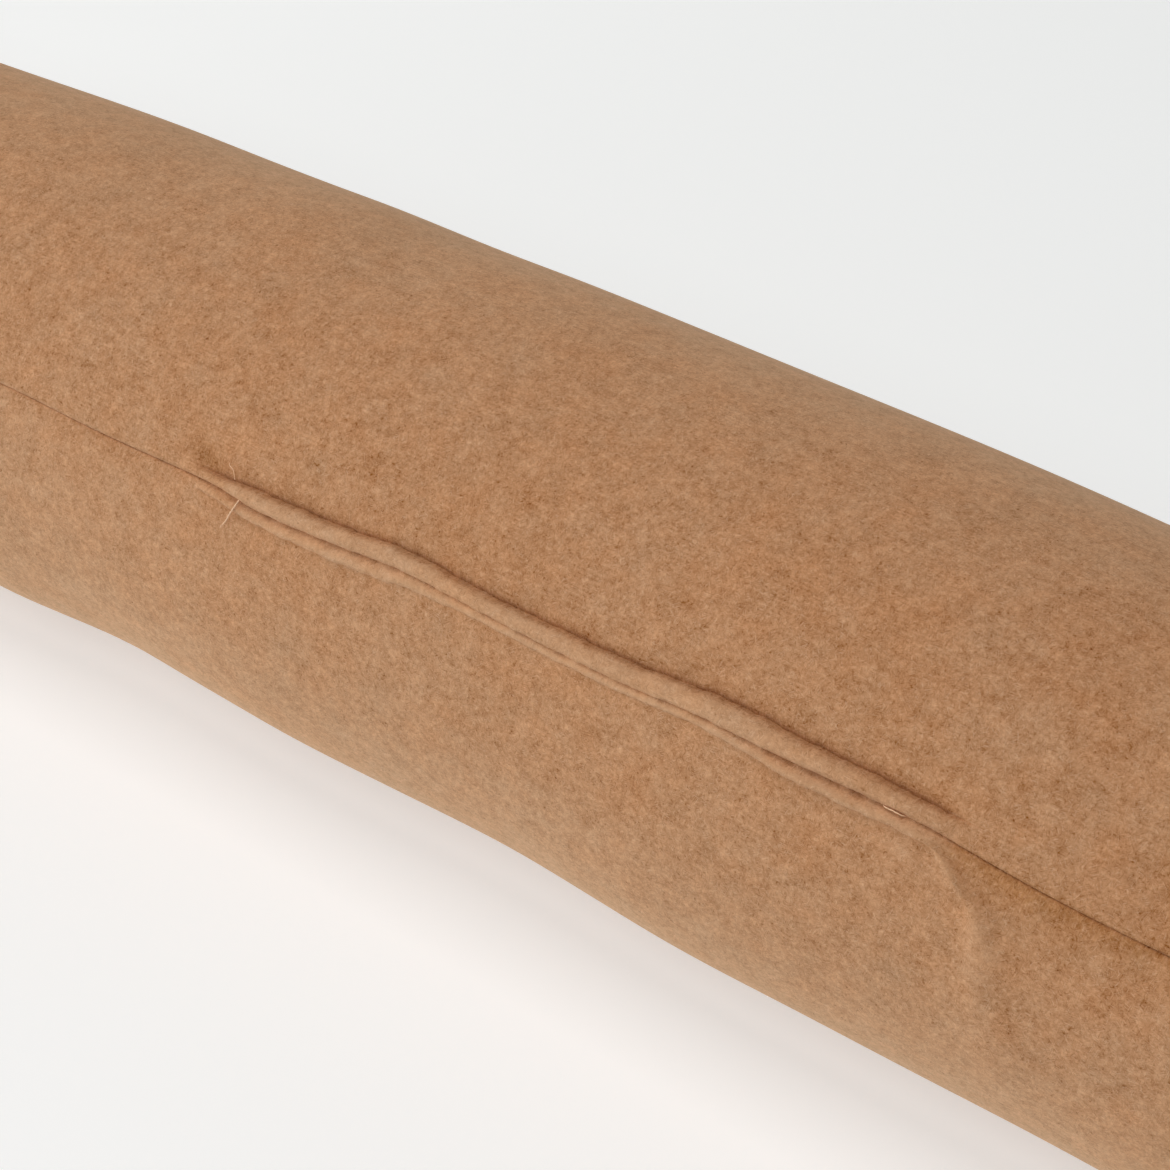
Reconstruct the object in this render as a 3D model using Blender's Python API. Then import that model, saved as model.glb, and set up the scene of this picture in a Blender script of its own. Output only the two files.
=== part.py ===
"""A draught excluder: a firmly filled tube of felted wool that lies along the foot of a door.

Metres, +Z up. X runs along the tube, the seam and its closed turning gap face -Y, and the origin
is the middle of the tube's box on the floor.
"""

import math
from collections import namedtuple

import bmesh
import bpy

# Driving sizes of the tube
LENGTH = 0.900               # over the crowns of the two end panels
TUBE_RADIUS = 0.060          # of the round part of the section
FLAT_HALF_WIDTH = 0.018      # half of the flat strip that rests on the floor
CORNER_RADIUS = 0.038        # between the round part and the flat strip
CLOTH = 0.002                # thickness of the felted wool
GAP = 0.00045                # between an end panel and the filled tube, along X

# Driving sizes of the two ends
CROWN = 0.012                # how far a filled end panel bulges
END_ROUNDING = 0.014         # length over which the tube draws in towards the end seam
END_SEAM_SCALE = 0.910       # section's size at the end seam, as a share of the full section

# Driving sizes of the long seam and of the turning gap, measured across the cloth
SEAM_ANGLE = math.radians(32.5)   # above the horizontal, on the front
SEAM_DEPTH = 0.0013          # of the channel that the stitches pull in
SEAM_SOFTNESS = 0.0016       # distance over which the channel's sides roll in
CREASE_DEPTH = 0.0016        # behind the upper lip
GROOVE_DEPTH = 0.0004        # between the two lips
LOWER_EDGE_DEPTH = 0.0003    # where the lower lip meets the cloth below it
LIP_ROUNDNESS = 2.4          # 2 is an ellipse, more is squarer
FULL_LIP_HEIGHT = 0.0016     # from here on a lip is fully open
NO_LIP_WIDTH = 0.0007        # each side of the seam where there is no lip

# Mesh steps
GAP_ZONE = 0.114             # half of the stretch that has close stations
FINE_STEP = 0.0060
COARSE_STEP = 0.0185
ROUND_STEP = 0.0115          # round the section, away from the seam
SEAM_MARGIN = 0.024          # from the seam to the first evenly spaced column
ROLL_DISTANCES = (0.0005, 0.0013, 0.0026, 0.0048, 0.0080, 0.0120)
UPPER_LIP_STEPS = (0.10, 0.34, 0.66, 0.90, 1.0)
LOWER_LIP_STEPS = (0.20, 0.55, 0.85, 1.0)
END_TURNS = (0.25, 0.50, 0.75, 1.0)
CAP_SCALES = (0.80, 0.55, 0.28)
PANEL_RIM = ((0.985, 0.0), (1.0, 0.25), (1.0, 0.65), (0.975, 1.0))   # scale, share of the cloth
SHARP_ANGLE = math.radians(50)

# The tube along its length: bow is how far it lies sideways of straight, swell is added to the
# radius where it is filled more tightly.
BodyRow = namedtuple("BodyRow", "along bow swell")
BODY_ROWS = (
    BodyRow(-0.450, -0.0120, -0.0005),
    BodyRow(-0.375, -0.0100, 0.0002),
    BodyRow(-0.300, -0.0078, -0.0004),
    BodyRow(-0.240, -0.0053, -0.0002),
    BodyRow(-0.180, -0.0026, 0.0004),
    BodyRow(-0.120, -0.0009, 0.0003),
    BodyRow(-0.060, -0.0001, 0.0006),
    BodyRow(0.000, 0.0000, 0.0006),
    BodyRow(0.060, -0.0003, 0.0006),
    BodyRow(0.120, -0.0006, -0.0003),
    BodyRow(0.180, -0.0009, -0.0008),
    BodyRow(0.250, -0.0022, -0.0003),
    BodyRow(0.320, -0.0045, 0.0004),
    BodyRow(0.390, -0.0075, 0.0002),
    BodyRow(0.450, -0.0105, -0.0005),
)

# The hand-guided long seam: how far it strays upwards from its own angle.
SeamRow = namedtuple("SeamRow", "along stray")
SEAM_ROWS = (
    SeamRow(-0.450, 0.0000),
    SeamRow(-0.375, 0.0011),
    SeamRow(-0.300, 0.0006),
    SeamRow(-0.230, -0.0007),
    SeamRow(-0.180, -0.0006),
    SeamRow(-0.150, -0.0001),
    SeamRow(-0.124, -0.0006),
    SeamRow(-0.094, -0.0003),
    SeamRow(-0.070, -0.0008),
    SeamRow(-0.055, -0.0001),
    SeamRow(-0.038, 0.0010),
    SeamRow(-0.024, 0.0009),
    SeamRow(-0.004, 0.0004),
    SeamRow(0.017, 0.0005),
    SeamRow(0.032, 0.0012),
    SeamRow(0.052, 0.0013),
    SeamRow(0.070, 0.0018),
    SeamRow(0.082, 0.0019),
    SeamRow(0.090, 0.0012),
    SeamRow(0.102, 0.0005),
    SeamRow(0.118, 0.0001),
    SeamRow(0.150, 0.0000),
    SeamRow(0.200, -0.0008),
    SeamRow(0.270, 0.0003),
    SeamRow(0.350, 0.0009),
    SeamRow(0.450, -0.0003),
)

# The folded lips of the turning gap: widths across the cloth and heights above it.
LipRow = namedtuple("LipRow", "along upper_width upper_height lower_width lower_height")
LIP_ROWS = (
    LipRow(-0.112, 0.0007, 0.0000, 0.0007, 0.0000),
    LipRow(-0.095, 0.0036, 0.0000, 0.0016, 0.0000),
    LipRow(-0.088, 0.0037, 0.0010, 0.0020, 0.0005),
    LipRow(-0.080, 0.0039, 0.0016, 0.0027, 0.0009),
    LipRow(-0.068, 0.0041, 0.0018, 0.0026, 0.0010),
    LipRow(-0.055, 0.0040, 0.0018, 0.0033, 0.0010),
    LipRow(-0.043, 0.0044, 0.0019, 0.0036, 0.0011),
    LipRow(-0.034, 0.0044, 0.0019, 0.0025, 0.0011),
    LipRow(-0.018, 0.0041, 0.0018, 0.0017, 0.0009),
    LipRow(0.000, 0.0043, 0.0019, 0.0021, 0.0010),
    LipRow(0.017, 0.0044, 0.0019, 0.0021, 0.0010),
    LipRow(0.030, 0.0047, 0.0020, 0.0015, 0.0009),
    LipRow(0.043, 0.0053, 0.0021, 0.0020, 0.0010),
    LipRow(0.056, 0.0048, 0.0020, 0.0034, 0.0012),
    LipRow(0.072, 0.0044, 0.0018, 0.0034, 0.0012),
    LipRow(0.082, 0.0039, 0.0014, 0.0028, 0.0009),
    LipRow(0.089, 0.0039, 0.0006, 0.0026, 0.0004),
    LipRow(0.096, 0.0040, 0.0000, 0.0024, 0.0000),
    LipRow(0.112, 0.0007, 0.0000, 0.0007, 0.0000),
)

# Soft oval mounds and hollows, turned by an angle in degrees: first those that the hand sewing
# pulls in beside the gap's two ends, then the unevenness of the filling.
Mound = namedtuple("Mound", "along across length width angle height")
MOUNDS = (
    Mound(-0.091, 0.0065, 0.0060, 0.0042, -30, -0.0013),
    Mound(0.090, -0.0030, 0.0080, 0.0016, -30, 0.0007),
    Mound(0.096, -0.0080, 0.0080, 0.0034, -62, 0.0006),
    Mound(-0.162, -0.058, 0.018, 0.022, 0, 0.0011),
    Mound(-0.126, -0.058, 0.018, 0.022, 0, -0.0011),
    Mound(-0.071, -0.058, 0.022, 0.022, 0, 0.0008),
    Mound(-0.015, -0.058, 0.022, 0.022, 0, -0.0010),
    Mound(0.034, -0.058, 0.022, 0.022, 0, 0.0008),
    Mound(0.120, -0.058, 0.030, 0.022, 0, -0.0008),
    Mound(-0.150, 0.076, 0.020, 0.026, 0, -0.0005),
    Mound(-0.110, 0.076, 0.016, 0.026, 0, 0.0005),
    Mound(-0.080, 0.076, 0.018, 0.026, 0, -0.0007),
    Mound(-0.250, 0.040, 0.040, 0.035, 17, 0.0009),
    Mound(-0.340, -0.045, 0.045, 0.030, -11, 0.0008),
    Mound(0.210, 0.030, 0.045, 0.035, 11, -0.0008),
    Mound(0.300, -0.050, 0.040, 0.028, 6, 0.0010),
    Mound(0.370, 0.050, 0.040, 0.035, -17, 0.0009),
    Mound(-0.200, 0.150, 0.050, 0.030, 11, -0.0009),
    Mound(0.020, 0.145, 0.050, 0.030, -11, 0.0010),
    Mound(0.260, 0.150, 0.050, 0.030, 6, -0.0008),
)

CAMEL_WOOL = (0.47, 0.245, 0.115, 1.0)
WOOL_ROUGHNESS = 0.95

# Worked out from the sizes above
CENTRE_HEIGHT = CORNER_RADIUS + math.sqrt((TUBE_RADIUS - CORNER_RADIUS) ** 2 - FLAT_HALF_WIDTH ** 2)
CORNER_TURN = math.atan2(CENTRE_HEIGHT - CORNER_RADIUS, FLAT_HALF_WIDTH)
BACK_ARC = TUBE_RADIUS * (math.pi - SEAM_ANGLE + CORNER_TURN)
CORNER_ARC = CORNER_RADIUS * (math.pi / 2 - CORNER_TURN)
STRIP_START = BACK_ARC + CORNER_ARC
STRIP_END = STRIP_START + 2 * FLAT_HALF_WIDTH
FRONT_ARC = TUBE_RADIUS * (SEAM_ANGLE + CORNER_TURN)
GIRTH = STRIP_END + CORNER_ARC + FRONT_ARC
END_SEAM_X = LENGTH / 2 - CROWN - CLOTH - GAP


def clear_scene():
    """Remove every object, so that the file holds this part alone."""
    for scene_object in list(bpy.data.objects):
        bpy.data.objects.remove(scene_object, do_unlink=True)


def read_rows(rows, along, column):
    """Value of one column at a place along the tube, on a smooth curve through the rows."""
    along = min(max(along, rows[0].along), rows[-1].along)
    index = 0
    while index < len(rows) - 2 and along > rows[index + 1].along:
        index += 1
    before = rows[max(index - 1, 0)]
    start = rows[index]
    end = rows[index + 1]
    after = rows[min(index + 2, len(rows) - 1)]
    span = end.along - start.along
    share = (along - start.along) / span
    start_value = getattr(start, column)
    end_value = getattr(end, column)
    start_slope = span * (end_value - getattr(before, column)) / (end.along - before.along)
    end_slope = span * (getattr(after, column) - start_value) / (after.along - start.along)
    cubed = share ** 3
    squared = share ** 2
    return (start_value * (2 * cubed - 3 * squared + 1)
            + start_slope * (cubed - 2 * squared + share)
            + end_value * (3 * squared - 2 * cubed)
            + end_slope * (cubed - squared))


def section_point(distance):
    """Point and outward normal (y, z) at a distance round the section, from the seam over the top.

    The section is a round arc, a corner arc, the flat strip, a corner arc and the round arc again.
    """
    distance %= GIRTH
    if distance < BACK_ARC:
        angle = math.pi - SEAM_ANGLE - distance / TUBE_RADIUS
        centre = (0.0, CENTRE_HEIGHT, TUBE_RADIUS)
    elif distance < STRIP_START:
        angle = -CORNER_TURN - (distance - BACK_ARC) / CORNER_RADIUS
        centre = (FLAT_HALF_WIDTH, CORNER_RADIUS, CORNER_RADIUS)
    elif distance <= STRIP_END:
        across = FLAT_HALF_WIDTH - (distance - STRIP_START)
        return (across, 0.0), (0.0, -1.0)
    elif distance < STRIP_END + CORNER_ARC:
        angle = -math.pi / 2 - (distance - STRIP_END) / CORNER_RADIUS
        centre = (-FLAT_HALF_WIDTH, CORNER_RADIUS, CORNER_RADIUS)
    else:
        angle = math.pi - SEAM_ANGLE + (GIRTH - distance) / TUBE_RADIUS
        centre = (0.0, CENTRE_HEIGHT, TUBE_RADIUS)
    normal = (math.cos(angle), math.sin(angle))
    point = (centre[0] + centre[2] * normal[0], centre[1] + centre[2] * normal[1])
    return point, normal


def even_steps(start, end, step):
    """Values from start up to, but not including, end, in equal steps of about the one given."""
    count = max(1, round((end - start) / step))
    return [start + (end - start) * index / count for index in range(count)]


def round_columns():
    """Distances away from the seam, with one on every change of arc so that the strip is flat."""
    front_round = STRIP_END + CORNER_ARC
    changes = (SEAM_MARGIN, BACK_ARC, STRIP_START, STRIP_END, front_round, GIRTH - SEAM_MARGIN)
    columns = []
    for start, end in zip(changes, changes[1:]):
        columns += even_steps(start, end, ROUND_STEP)
    return columns + [changes[-1]]


def bead(share):
    """Height of a rounded bead, 0 at both edges and 1 in the middle."""
    return (1 - abs(2 * share - 1) ** LIP_ROUNDNESS) ** (1 / LIP_ROUNDNESS)


def valley(width, openness, open_depth):
    """Height of the cloth beside a lip: the plain channel's side, or its own depth at a lip."""
    channel_depth = SEAM_DEPTH * math.exp(-width / SEAM_SOFTNESS)
    return -(channel_depth * (1 - openness) + open_depth * openness)


def lip_columns(width, height, openness, outer_height, groove_height, steps):
    """Distances and heights of one lip: a bead that stands on the line from groove to outer edge."""
    points = []
    for share in steps:
        base = groove_height + (outer_height - groove_height) * share
        rise = (height - base) * bead(share) * openness
        points.append((width * share, base + rise))
    return points


def seam_columns(along):
    """Distances from the seam and heights above the cloth, from below the seam to above it.

    The lower lip, the groove and the upper lip keep their own columns, which close up to a plain
    channel where the gap ends.
    """
    upper_width = max(read_rows(LIP_ROWS, along, "upper_width"), NO_LIP_WIDTH)
    lower_width = max(read_rows(LIP_ROWS, along, "lower_width"), NO_LIP_WIDTH)
    upper_height = max(read_rows(LIP_ROWS, along, "upper_height"), 0.0)
    lower_height = max(read_rows(LIP_ROWS, along, "lower_height"), 0.0)
    openness = min(upper_height / FULL_LIP_HEIGHT, 1.0)
    crease = valley(upper_width, openness, CREASE_DEPTH)
    groove = valley(0.0, openness, GROOVE_DEPTH)
    lower_edge = valley(lower_width, openness, LOWER_EDGE_DEPTH)
    below = lip_columns(lower_width, lower_height, openness, lower_edge, groove, LOWER_LIP_STEPS)
    below += [(lower_width + roll, lower_edge * math.exp(-roll / SEAM_SOFTNESS))
              for roll in ROLL_DISTANCES]
    above = lip_columns(upper_width, upper_height, openness, crease, groove, UPPER_LIP_STEPS)
    above += [(upper_width + roll, crease * math.exp(-roll / SEAM_SOFTNESS))
              for roll in ROLL_DISTANCES]
    return [(-distance, height) for distance, height in reversed(below)] + [(0.0, groove)] + above


def mound_height(along, across):
    """Height that the mounds and hollows add at a distance round from the seam's own angle."""
    total = 0.0
    for mound in MOUNDS:
        forward = along - mound.along
        upward = (across - mound.across + GIRTH / 2) % GIRTH - GIRTH / 2
        cosine = math.cos(math.radians(mound.angle))
        sine = math.sin(math.radians(mound.angle))
        lengthwise = (forward * cosine + upward * sine) / mound.length
        crosswise = (upward * cosine - forward * sine) / mound.width
        total += mound.height * math.exp(-lengthwise ** 2 - crosswise ** 2)
    return total


def stations():
    """Places along the tube with the section's scale there, close together at the turning gap."""
    straight_end = END_SEAM_X - END_ROUNDING
    places = [(place, 1.0) for place in even_steps(-straight_end, -GAP_ZONE, COARSE_STEP)]
    places += [(place, 1.0) for place in even_steps(-GAP_ZONE, GAP_ZONE, FINE_STEP)]
    places += [(place, 1.0) for place in even_steps(GAP_ZONE, straight_end, COARSE_STEP)]
    places.append((straight_end, 1.0))
    rounding = []
    for turn in END_TURNS:
        angle = turn * math.pi / 2
        place = straight_end + END_ROUNDING * math.sin(angle)
        rounding.append((place, 1 - (1 - END_SEAM_SCALE) * (1 - math.cos(angle))))
    return [(-place, scale) for place, scale in reversed(rounding)] + places + rounding


def sideways_middle():
    """Middle of the tube's width, so that the origin can stand in the middle of its box."""
    fronts = []
    backs = []
    for along, scale in stations():
        bow = read_rows(BODY_ROWS, along, "bow")
        reach = (TUBE_RADIUS + read_rows(BODY_ROWS, along, "swell")) * scale
        fronts.append(bow - reach)
        backs.append(bow + reach)
    return (min(fronts) + max(backs)) / 2


def place_point(along, distance, height, scale):
    """Point of the section at a station: lifted off the cloth, swollen, drawn in and bowed."""
    (across, up), (normal_across, normal_up) = section_point(distance)
    swell = 1 + read_rows(BODY_ROWS, along, "swell") / TUBE_RADIUS
    across = (across + normal_across * height) * swell * scale
    up = (up + normal_up * height) * swell
    up = CENTRE_HEIGHT + (up - CENTRE_HEIGHT) * scale
    return across + read_rows(BODY_ROWS, along, "bow") - SIDEWAYS_MIDDLE, up


def seamed_ring(along, scale):
    """One ring of the tube, with the seam, the lips and the mounds on it."""
    stray = read_rows(SEAM_ROWS, along, "stray")
    columns = [(stray + offset, height) for offset, height in seam_columns(along)]
    columns += [(distance, 0.0) for distance in round_columns()]
    ring = []
    for distance, height in columns:
        if not STRIP_START <= distance <= STRIP_END:
            height += mound_height(along, distance)
        ring.append((along, *place_point(along, distance, height, scale)))
    return ring


def plain_ring(side, scale, bulge):
    """One ring of an end, without the seam: bulge is how far it stands past the end seam."""
    columns = [offset for offset, height in seam_columns(side * END_SEAM_X)] + round_columns()
    ring = []
    for distance in columns:
        across, up = place_point(side * END_SEAM_X, distance, 0.0, END_SEAM_SCALE * scale)
        ring.append((side * (END_SEAM_X + bulge), across, up))
    return ring


def crown_ring(side, scale, offset):
    """One ring of a crowned end: the bulge is a bowl that is deepest in the middle."""
    return plain_ring(side, scale, offset + CROWN * (1 - scale ** 2))


def crown_rings(side, offset):
    """Rings of a crowned end from its rim inwards, then the point in its middle."""
    rings = [crown_ring(side, scale, offset) for scale in CAP_SCALES]
    across = read_rows(BODY_ROWS, side * END_SEAM_X, "bow") - SIDEWAYS_MIDDLE
    return rings, (side * (END_SEAM_X + CROWN + offset), across, CENTRE_HEIGHT)


def add_solid(name, rings, start_point, end_point):
    """A closed solid from a row of rings: bands between them and a fan at either end."""
    solid = bmesh.new()
    loops = [[solid.verts.new(point) for point in ring] for ring in rings]
    count = len(loops[0])
    for loop, next_loop in zip(loops, loops[1:]):
        for index in range(count):
            following = (index + 1) % count
            solid.faces.new((loop[index], loop[following], next_loop[following], next_loop[index]))
    for loop, tip in ((loops[0], start_point), (loops[-1], end_point)):
        tip_vertex = solid.verts.new(tip)
        for index in range(count):
            solid.faces.new((loop[index], loop[(index + 1) % count], tip_vertex))
    bmesh.ops.recalc_face_normals(solid, faces=solid.faces)
    mesh = bpy.data.meshes.new(name)
    solid.to_mesh(mesh)
    solid.free()
    mesh.shade_smooth()
    mesh.set_sharp_from_angle(angle=SHARP_ANGLE)
    piece = bpy.data.objects.new(name, mesh)
    bpy.context.scene.collection.objects.link(piece)
    mesh.materials.append(wool_material(name + "_wool"))


def wool_material(name):
    """Camel-coloured felted wool, quite matt."""
    material = bpy.data.materials.new(name)
    material.use_nodes = True
    shader = material.node_tree.nodes["Principled BSDF"]
    shader.inputs["Base Color"].default_value = CAMEL_WOOL
    shader.inputs["Roughness"].default_value = WOOL_ROUGHNESS
    shader.inputs["Metallic"].default_value = 0.0
    return material


def build_tube():
    """The filled tube with its seam and turning gap, closed by a crowned face at each end."""
    rings = [seamed_ring(along, scale) for along, scale in stations()]
    left_rings, left_tip = crown_rings(-1, 0.0)
    right_rings, right_tip = crown_rings(1, 0.0)
    add_solid("tube", left_rings[::-1] + rings + right_rings, left_tip, right_tip)


def build_end_panel(name, side):
    """A round panel of one thickness of cloth, bulging with the filling behind it."""
    inner_rings, inner_tip = crown_rings(side, GAP)
    outer_rings, outer_tip = crown_rings(side, GAP + CLOTH)
    rim = [crown_ring(side, scale, GAP + CLOTH * share) for scale, share in PANEL_RIM]
    add_solid(name, inner_rings[::-1] + rim + outer_rings, inner_tip, outer_tip)


SIDEWAYS_MIDDLE = sideways_middle()

clear_scene()
build_tube()
build_end_panel("end_panel_left", -1)
build_end_panel("end_panel_right", 1)
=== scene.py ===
"""Looks of the draught excluder: felted wool, its hand-closed turning gap, and the light round it.

Metres, in the model's own frame: X runs along the tube, the long seam faces -Y, and the floor is
z = 0. "Along" is a place on X. "Distance" is measured round the section from the seam's own angle,
over the top. "Height" is measured outwards from the plain section.
"""

import math
from collections import namedtuple

import bpy
import numpy as np
from mathutils import Matrix


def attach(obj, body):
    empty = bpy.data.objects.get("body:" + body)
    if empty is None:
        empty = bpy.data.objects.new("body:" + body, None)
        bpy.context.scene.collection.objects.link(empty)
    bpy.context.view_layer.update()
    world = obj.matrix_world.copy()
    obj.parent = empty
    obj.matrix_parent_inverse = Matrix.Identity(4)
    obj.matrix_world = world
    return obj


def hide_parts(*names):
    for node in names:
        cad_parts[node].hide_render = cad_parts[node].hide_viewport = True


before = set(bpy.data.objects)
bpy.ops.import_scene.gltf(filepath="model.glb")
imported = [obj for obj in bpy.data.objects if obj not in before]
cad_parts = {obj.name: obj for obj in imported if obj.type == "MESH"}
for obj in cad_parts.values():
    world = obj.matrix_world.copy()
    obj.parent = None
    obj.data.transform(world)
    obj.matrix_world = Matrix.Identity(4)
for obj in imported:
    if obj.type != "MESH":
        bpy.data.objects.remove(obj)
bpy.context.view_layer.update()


def table(columns, *rows):
    """Rows of values under named columns."""
    row_type = namedtuple("Row", columns)
    return [row_type(*row) for row in rows]


# Sizes of the tube, as in the model
LENGTH = 0.900
TUBE_RADIUS = 0.060
FLAT_HALF_WIDTH = 0.018
CORNER_RADIUS = 0.038
CLOTH = 0.002
GAP = 0.00045
CROWN = 0.012
END_ROUNDING = 0.014
END_SEAM_SCALE = 0.910
SEAM_ANGLE = math.radians(32.5)
FULL_LIP_HEIGHT = 0.0016
NO_LIP_WIDTH = 0.0007

# Depths of the seam, each a sharp and a soft hollow
SHARP_REACH = 0.0004         # distance over which a sharp hollow fades
SOFT_REACH = 0.0022          # distance over which a soft hollow fades
SEAM_SHARP = 0.0005          # where the long seam is machine sewn
SEAM_SOFT = 0.0002           # above that seam
CREASE_SHARP = 0.00055       # above the upper lip
EDGE_REACH = 0.0060          # distance over which the cloth below the lower lip comes down
LIP_ROUNDNESS = 2.2          # 2 is an ellipse, more is squarer
UPPER_LIP_RISE = 0.45        # how a lip starts at the groove: 0.5 rises steeply, 1 is a slope
LOWER_LIP_RISE = 0.85
UPPER_LIP_FALL = 0.52        # how it ends at its outer edge, in the same way
LOWER_LIP_FALL = 1.05
LOWER_LIP_LEAN = 2.1         # more than 1 puts the crest nearer the lower edge
# Painted highlight: the lower lip is palest near its lower edge, where light catches its crest
LOWER_CREST = 0.60           # where the lower lip is palest, as a share of its width
LOWER_CREST_REACH = 0.44

# Grid of the tube's cloth
GAP_ZONE = 0.126             # half of the stretch with close stations
FINE_STEP = 0.00095
COARSE_STEP = 0.0038
ROUND_STEP = 0.0027
ROUNDING_STATIONS = 15       # on the rounding of an end
WIDTH_STATIONS = 400         # where the tube's width is looked at for its middle
SEAM_MARGIN = 0.024
UPPER_LIP_COLUMNS = 16
LOWER_LIP_COLUMNS = 11
# Painted shade: the wool's colour is darkened in and beside the creases, in the groove, below the lower
# lip, in the dimple and beside the plain seam, where shade falls
SHADE_REACH = 0.0020         # how far the wool beside a crease looks darker
SHADE_BELOW = 0.35           # the share of that below the lower lip
SHADE_ON_LIP = 0.22          # how far it reaches onto the lip, as a share of its reach
SHADE_IN_GROOVE = 0.30       # in the groove itself, fading over the groove's reach
GROOVE_REACH = 0.0007
SHADE_UNDER_SEAM = 0.0045    # how far it reaches below the plain seam, and above it
SHADE_OVER_SEAM = 0.0006
SHADE_OF_DIMPLE = 0.95
SHADE_UNEVENNESS = 0.8       # of the fibres that lie across a crease
DIMPLE_SPREAD = 1.2
# The folds' paleness is partly the pressed cloth's own and partly a painted highlight: along the ridge
# below the lips' right end, and across the upper lip
PAINTED_RIDGE_HIGHLIGHT = 0.75
UPPER_PALE_SHARE = 0.75      # share of the upper lip's width that is fully pale
ROLL_DISTANCES = (0.00012, 0.00028, 0.0005, 0.0008, 0.0012, 0.0017, 0.0024, 0.0033, 0.0045, 0.006,
                  0.008, 0.0105, 0.013)

# Colours of the wool, and how far each effect moves its tone from the dark towards the pale one
MIDDLE_TONE = 0.56
WOOL_DARK = (0.355, 0.1455, 0.0467)
WOOL_PALE = (0.673, 0.3665, 0.1925)
# Painted sheen of the nap: the wool's colour turns towards this where the cloth turns from the eye
PAINTED_SHEEN_COLOUR = (1.0, 0.82, 0.55)
SHARE_OF_PAINTED_SHEEN = 0.22
# Painted shade of the creases: the colour is multiplied by this tint, by the square of the shade
CREASE_SHADE_TINT = (0.89, 0.82, 0.66)
# Folds are tinted cooler, partly the pressed cloth's colour, partly painted light on their crests
FOLD_TINT = (0.98, 1.025, 1.065)
COOL_TINT = (0.967, 1.015, 1.068)
WARM_TINT = (1.033, 0.985, 0.932)
SHARE_OF_KNOTS = 0.40
SHARE_OF_GRAINS = 0.22
SHARE_OF_CLOUDS = 0.12
TONE_OF_TUFTS = 0.90
FIBRE_CREAM = (0.88, 0.62, 0.42)
SHARE_OF_FIBRES = 0.30
TONE_OF_SPECKS = 0.55
TONE_OF_FIBRE_GAPS = 0.40
TONE_OF_RIBS = 0.06
# The folds' paler tone is partly the pressed cloth's, partly a painted highlight on the crests
TONE_OF_FOLDS_AND_HIGHLIGHTS = 0.26
# Painted shade: how far the creases' painted shade darkens the tone
TONE_OF_CREASE_SHADE = 0.09
SMOOTHNESS_OF_FOLDS = 0.30   # how much of the unevenness the folds lose
COOLNESS_OF_CLOUDS = -0.6
CROWDING_OF_SPECKS = -0.6
SPECK_RANGE = (0.35, 0.90)   # values of a noise between which an effect comes in
FIBRE_RANGE = (0.44, 0.80)
GAP_RANGE = (-0.38, -0.76)
BARE_RANGE = (-0.35, 0.45)
RIB_REACH = (0.17, 0.10)     # metres round the tube, over which the ribs come in towards the seam
TUFTS = (0.0045, 4.0, 1.0)   # feature length of a noise in metres, its detail and its roughness
KNOTS = (0.0015, 1.0, 0.9)
GRAINS = (0.00050, 0.0, 0.5)
CLOUDS = (0.030, 2.0, 0.8)
PATCHES = (0.012, 2.0, 0.9)
PITS = (0.00055, 0.0, 0.5)
BARE_SIZE = 0.013            # metres, as are the sizes that follow
RIB_SPACING = 0.0009
RIB_WANDER = 2.5             # radians
WANDER_SIZE = (0.020, 0.006)
COMBED_SIZE = (0.0016, 0.00040)
FIBRE_SIZE = (0.0018, 0.00017)
FIBRE_BEND = 0.0006
FIBRE_BEND_SIZE = 0.004
FIBRE_TURNS = (8, 52, 97, 143)   # degrees from the tube's axis
FIBRE_RISE = 0.5             # height of a fibre in the bump, beside a tuft's
# The painted sheen is gone where the fold or the painted shade reaches this
SHEEN_GONE_AT = 0.30             # fold or shade at which the veil is gone
BUMP_STRENGTH = 0.3
BUMP_DEPTH = 0.00010

# Constants of each Principled shader, and the floor's size
WOOL_SURFACE = {
    "Roughness": 1.0, "Specular IOR Level": 0.1, "Sheen Weight": 0.2, "Sheen Roughness": 0.7,
    "Sheen Tint": (1.0, 0.80, 0.60, 1)}
FIBRE_SURFACE = {"Roughness": 0.9, "Specular IOR Level": 0.15}
THREAD_SURFACE = {"Roughness": 0.75, "Specular IOR Level": 0.3}
FLOOR_SURFACE = {
    "Base Color": (0.70, 0.692, 0.684, 1), "Roughness": 0.7,
    "Emission Color": (0.90, 0.975, 1.0, 1), "Emission Strength": 0.423}
FLOOR_HALF_SIZE = 4.0

# Camera and lights: degrees to the right of the front and upwards, and metres
VIEW_ANGLE = 27.0
VIEW_AZIMUTH = 36.0
VIEW_ELEVATION = 41.01
VIEW_DISTANCE = 0.5395
VIEW_MIDDLE = (-0.02943, 0.00478, 0.050)
LIGHT_MIDDLE = (-0.03, 0, 0.05)
LIGHT_DISTANCE = 1.6
LIGHT_SIZE = (1.6, 0.8)
LIGHTS = table(
    "name azimuth elevation power colour",
    ("window", -70, 6, 16.6, (1, 1, 1)),
    ("front_fill", 0, 50, 7.95, (1, 1, 1)),
    ("top_light", 0, 85, 10.0, (1.0, 0.93, 0.89)),
    ("back_fill", -150, 30, 4.1, (1.0, 0.945, 0.88)),
)
SURROUNDINGS = 0.04

# End panels, and the gathers of the cloth where it is eased into the end seams
CAP_SCALES = np.array((0.80, 0.55, 0.28))
PANEL_COLUMNS = 180
PANEL_RINGS = 22
PANEL_ROLL_RINGS = 9
PANEL_ROLL_START = 0.925
PANEL_TUCK_REACH = 0.10      # share of the radius over which the gathers fade
PANEL_UNEVENNESS = 0.0016
PANEL_WAVES = 9              # radians for each radius of the way round
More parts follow.
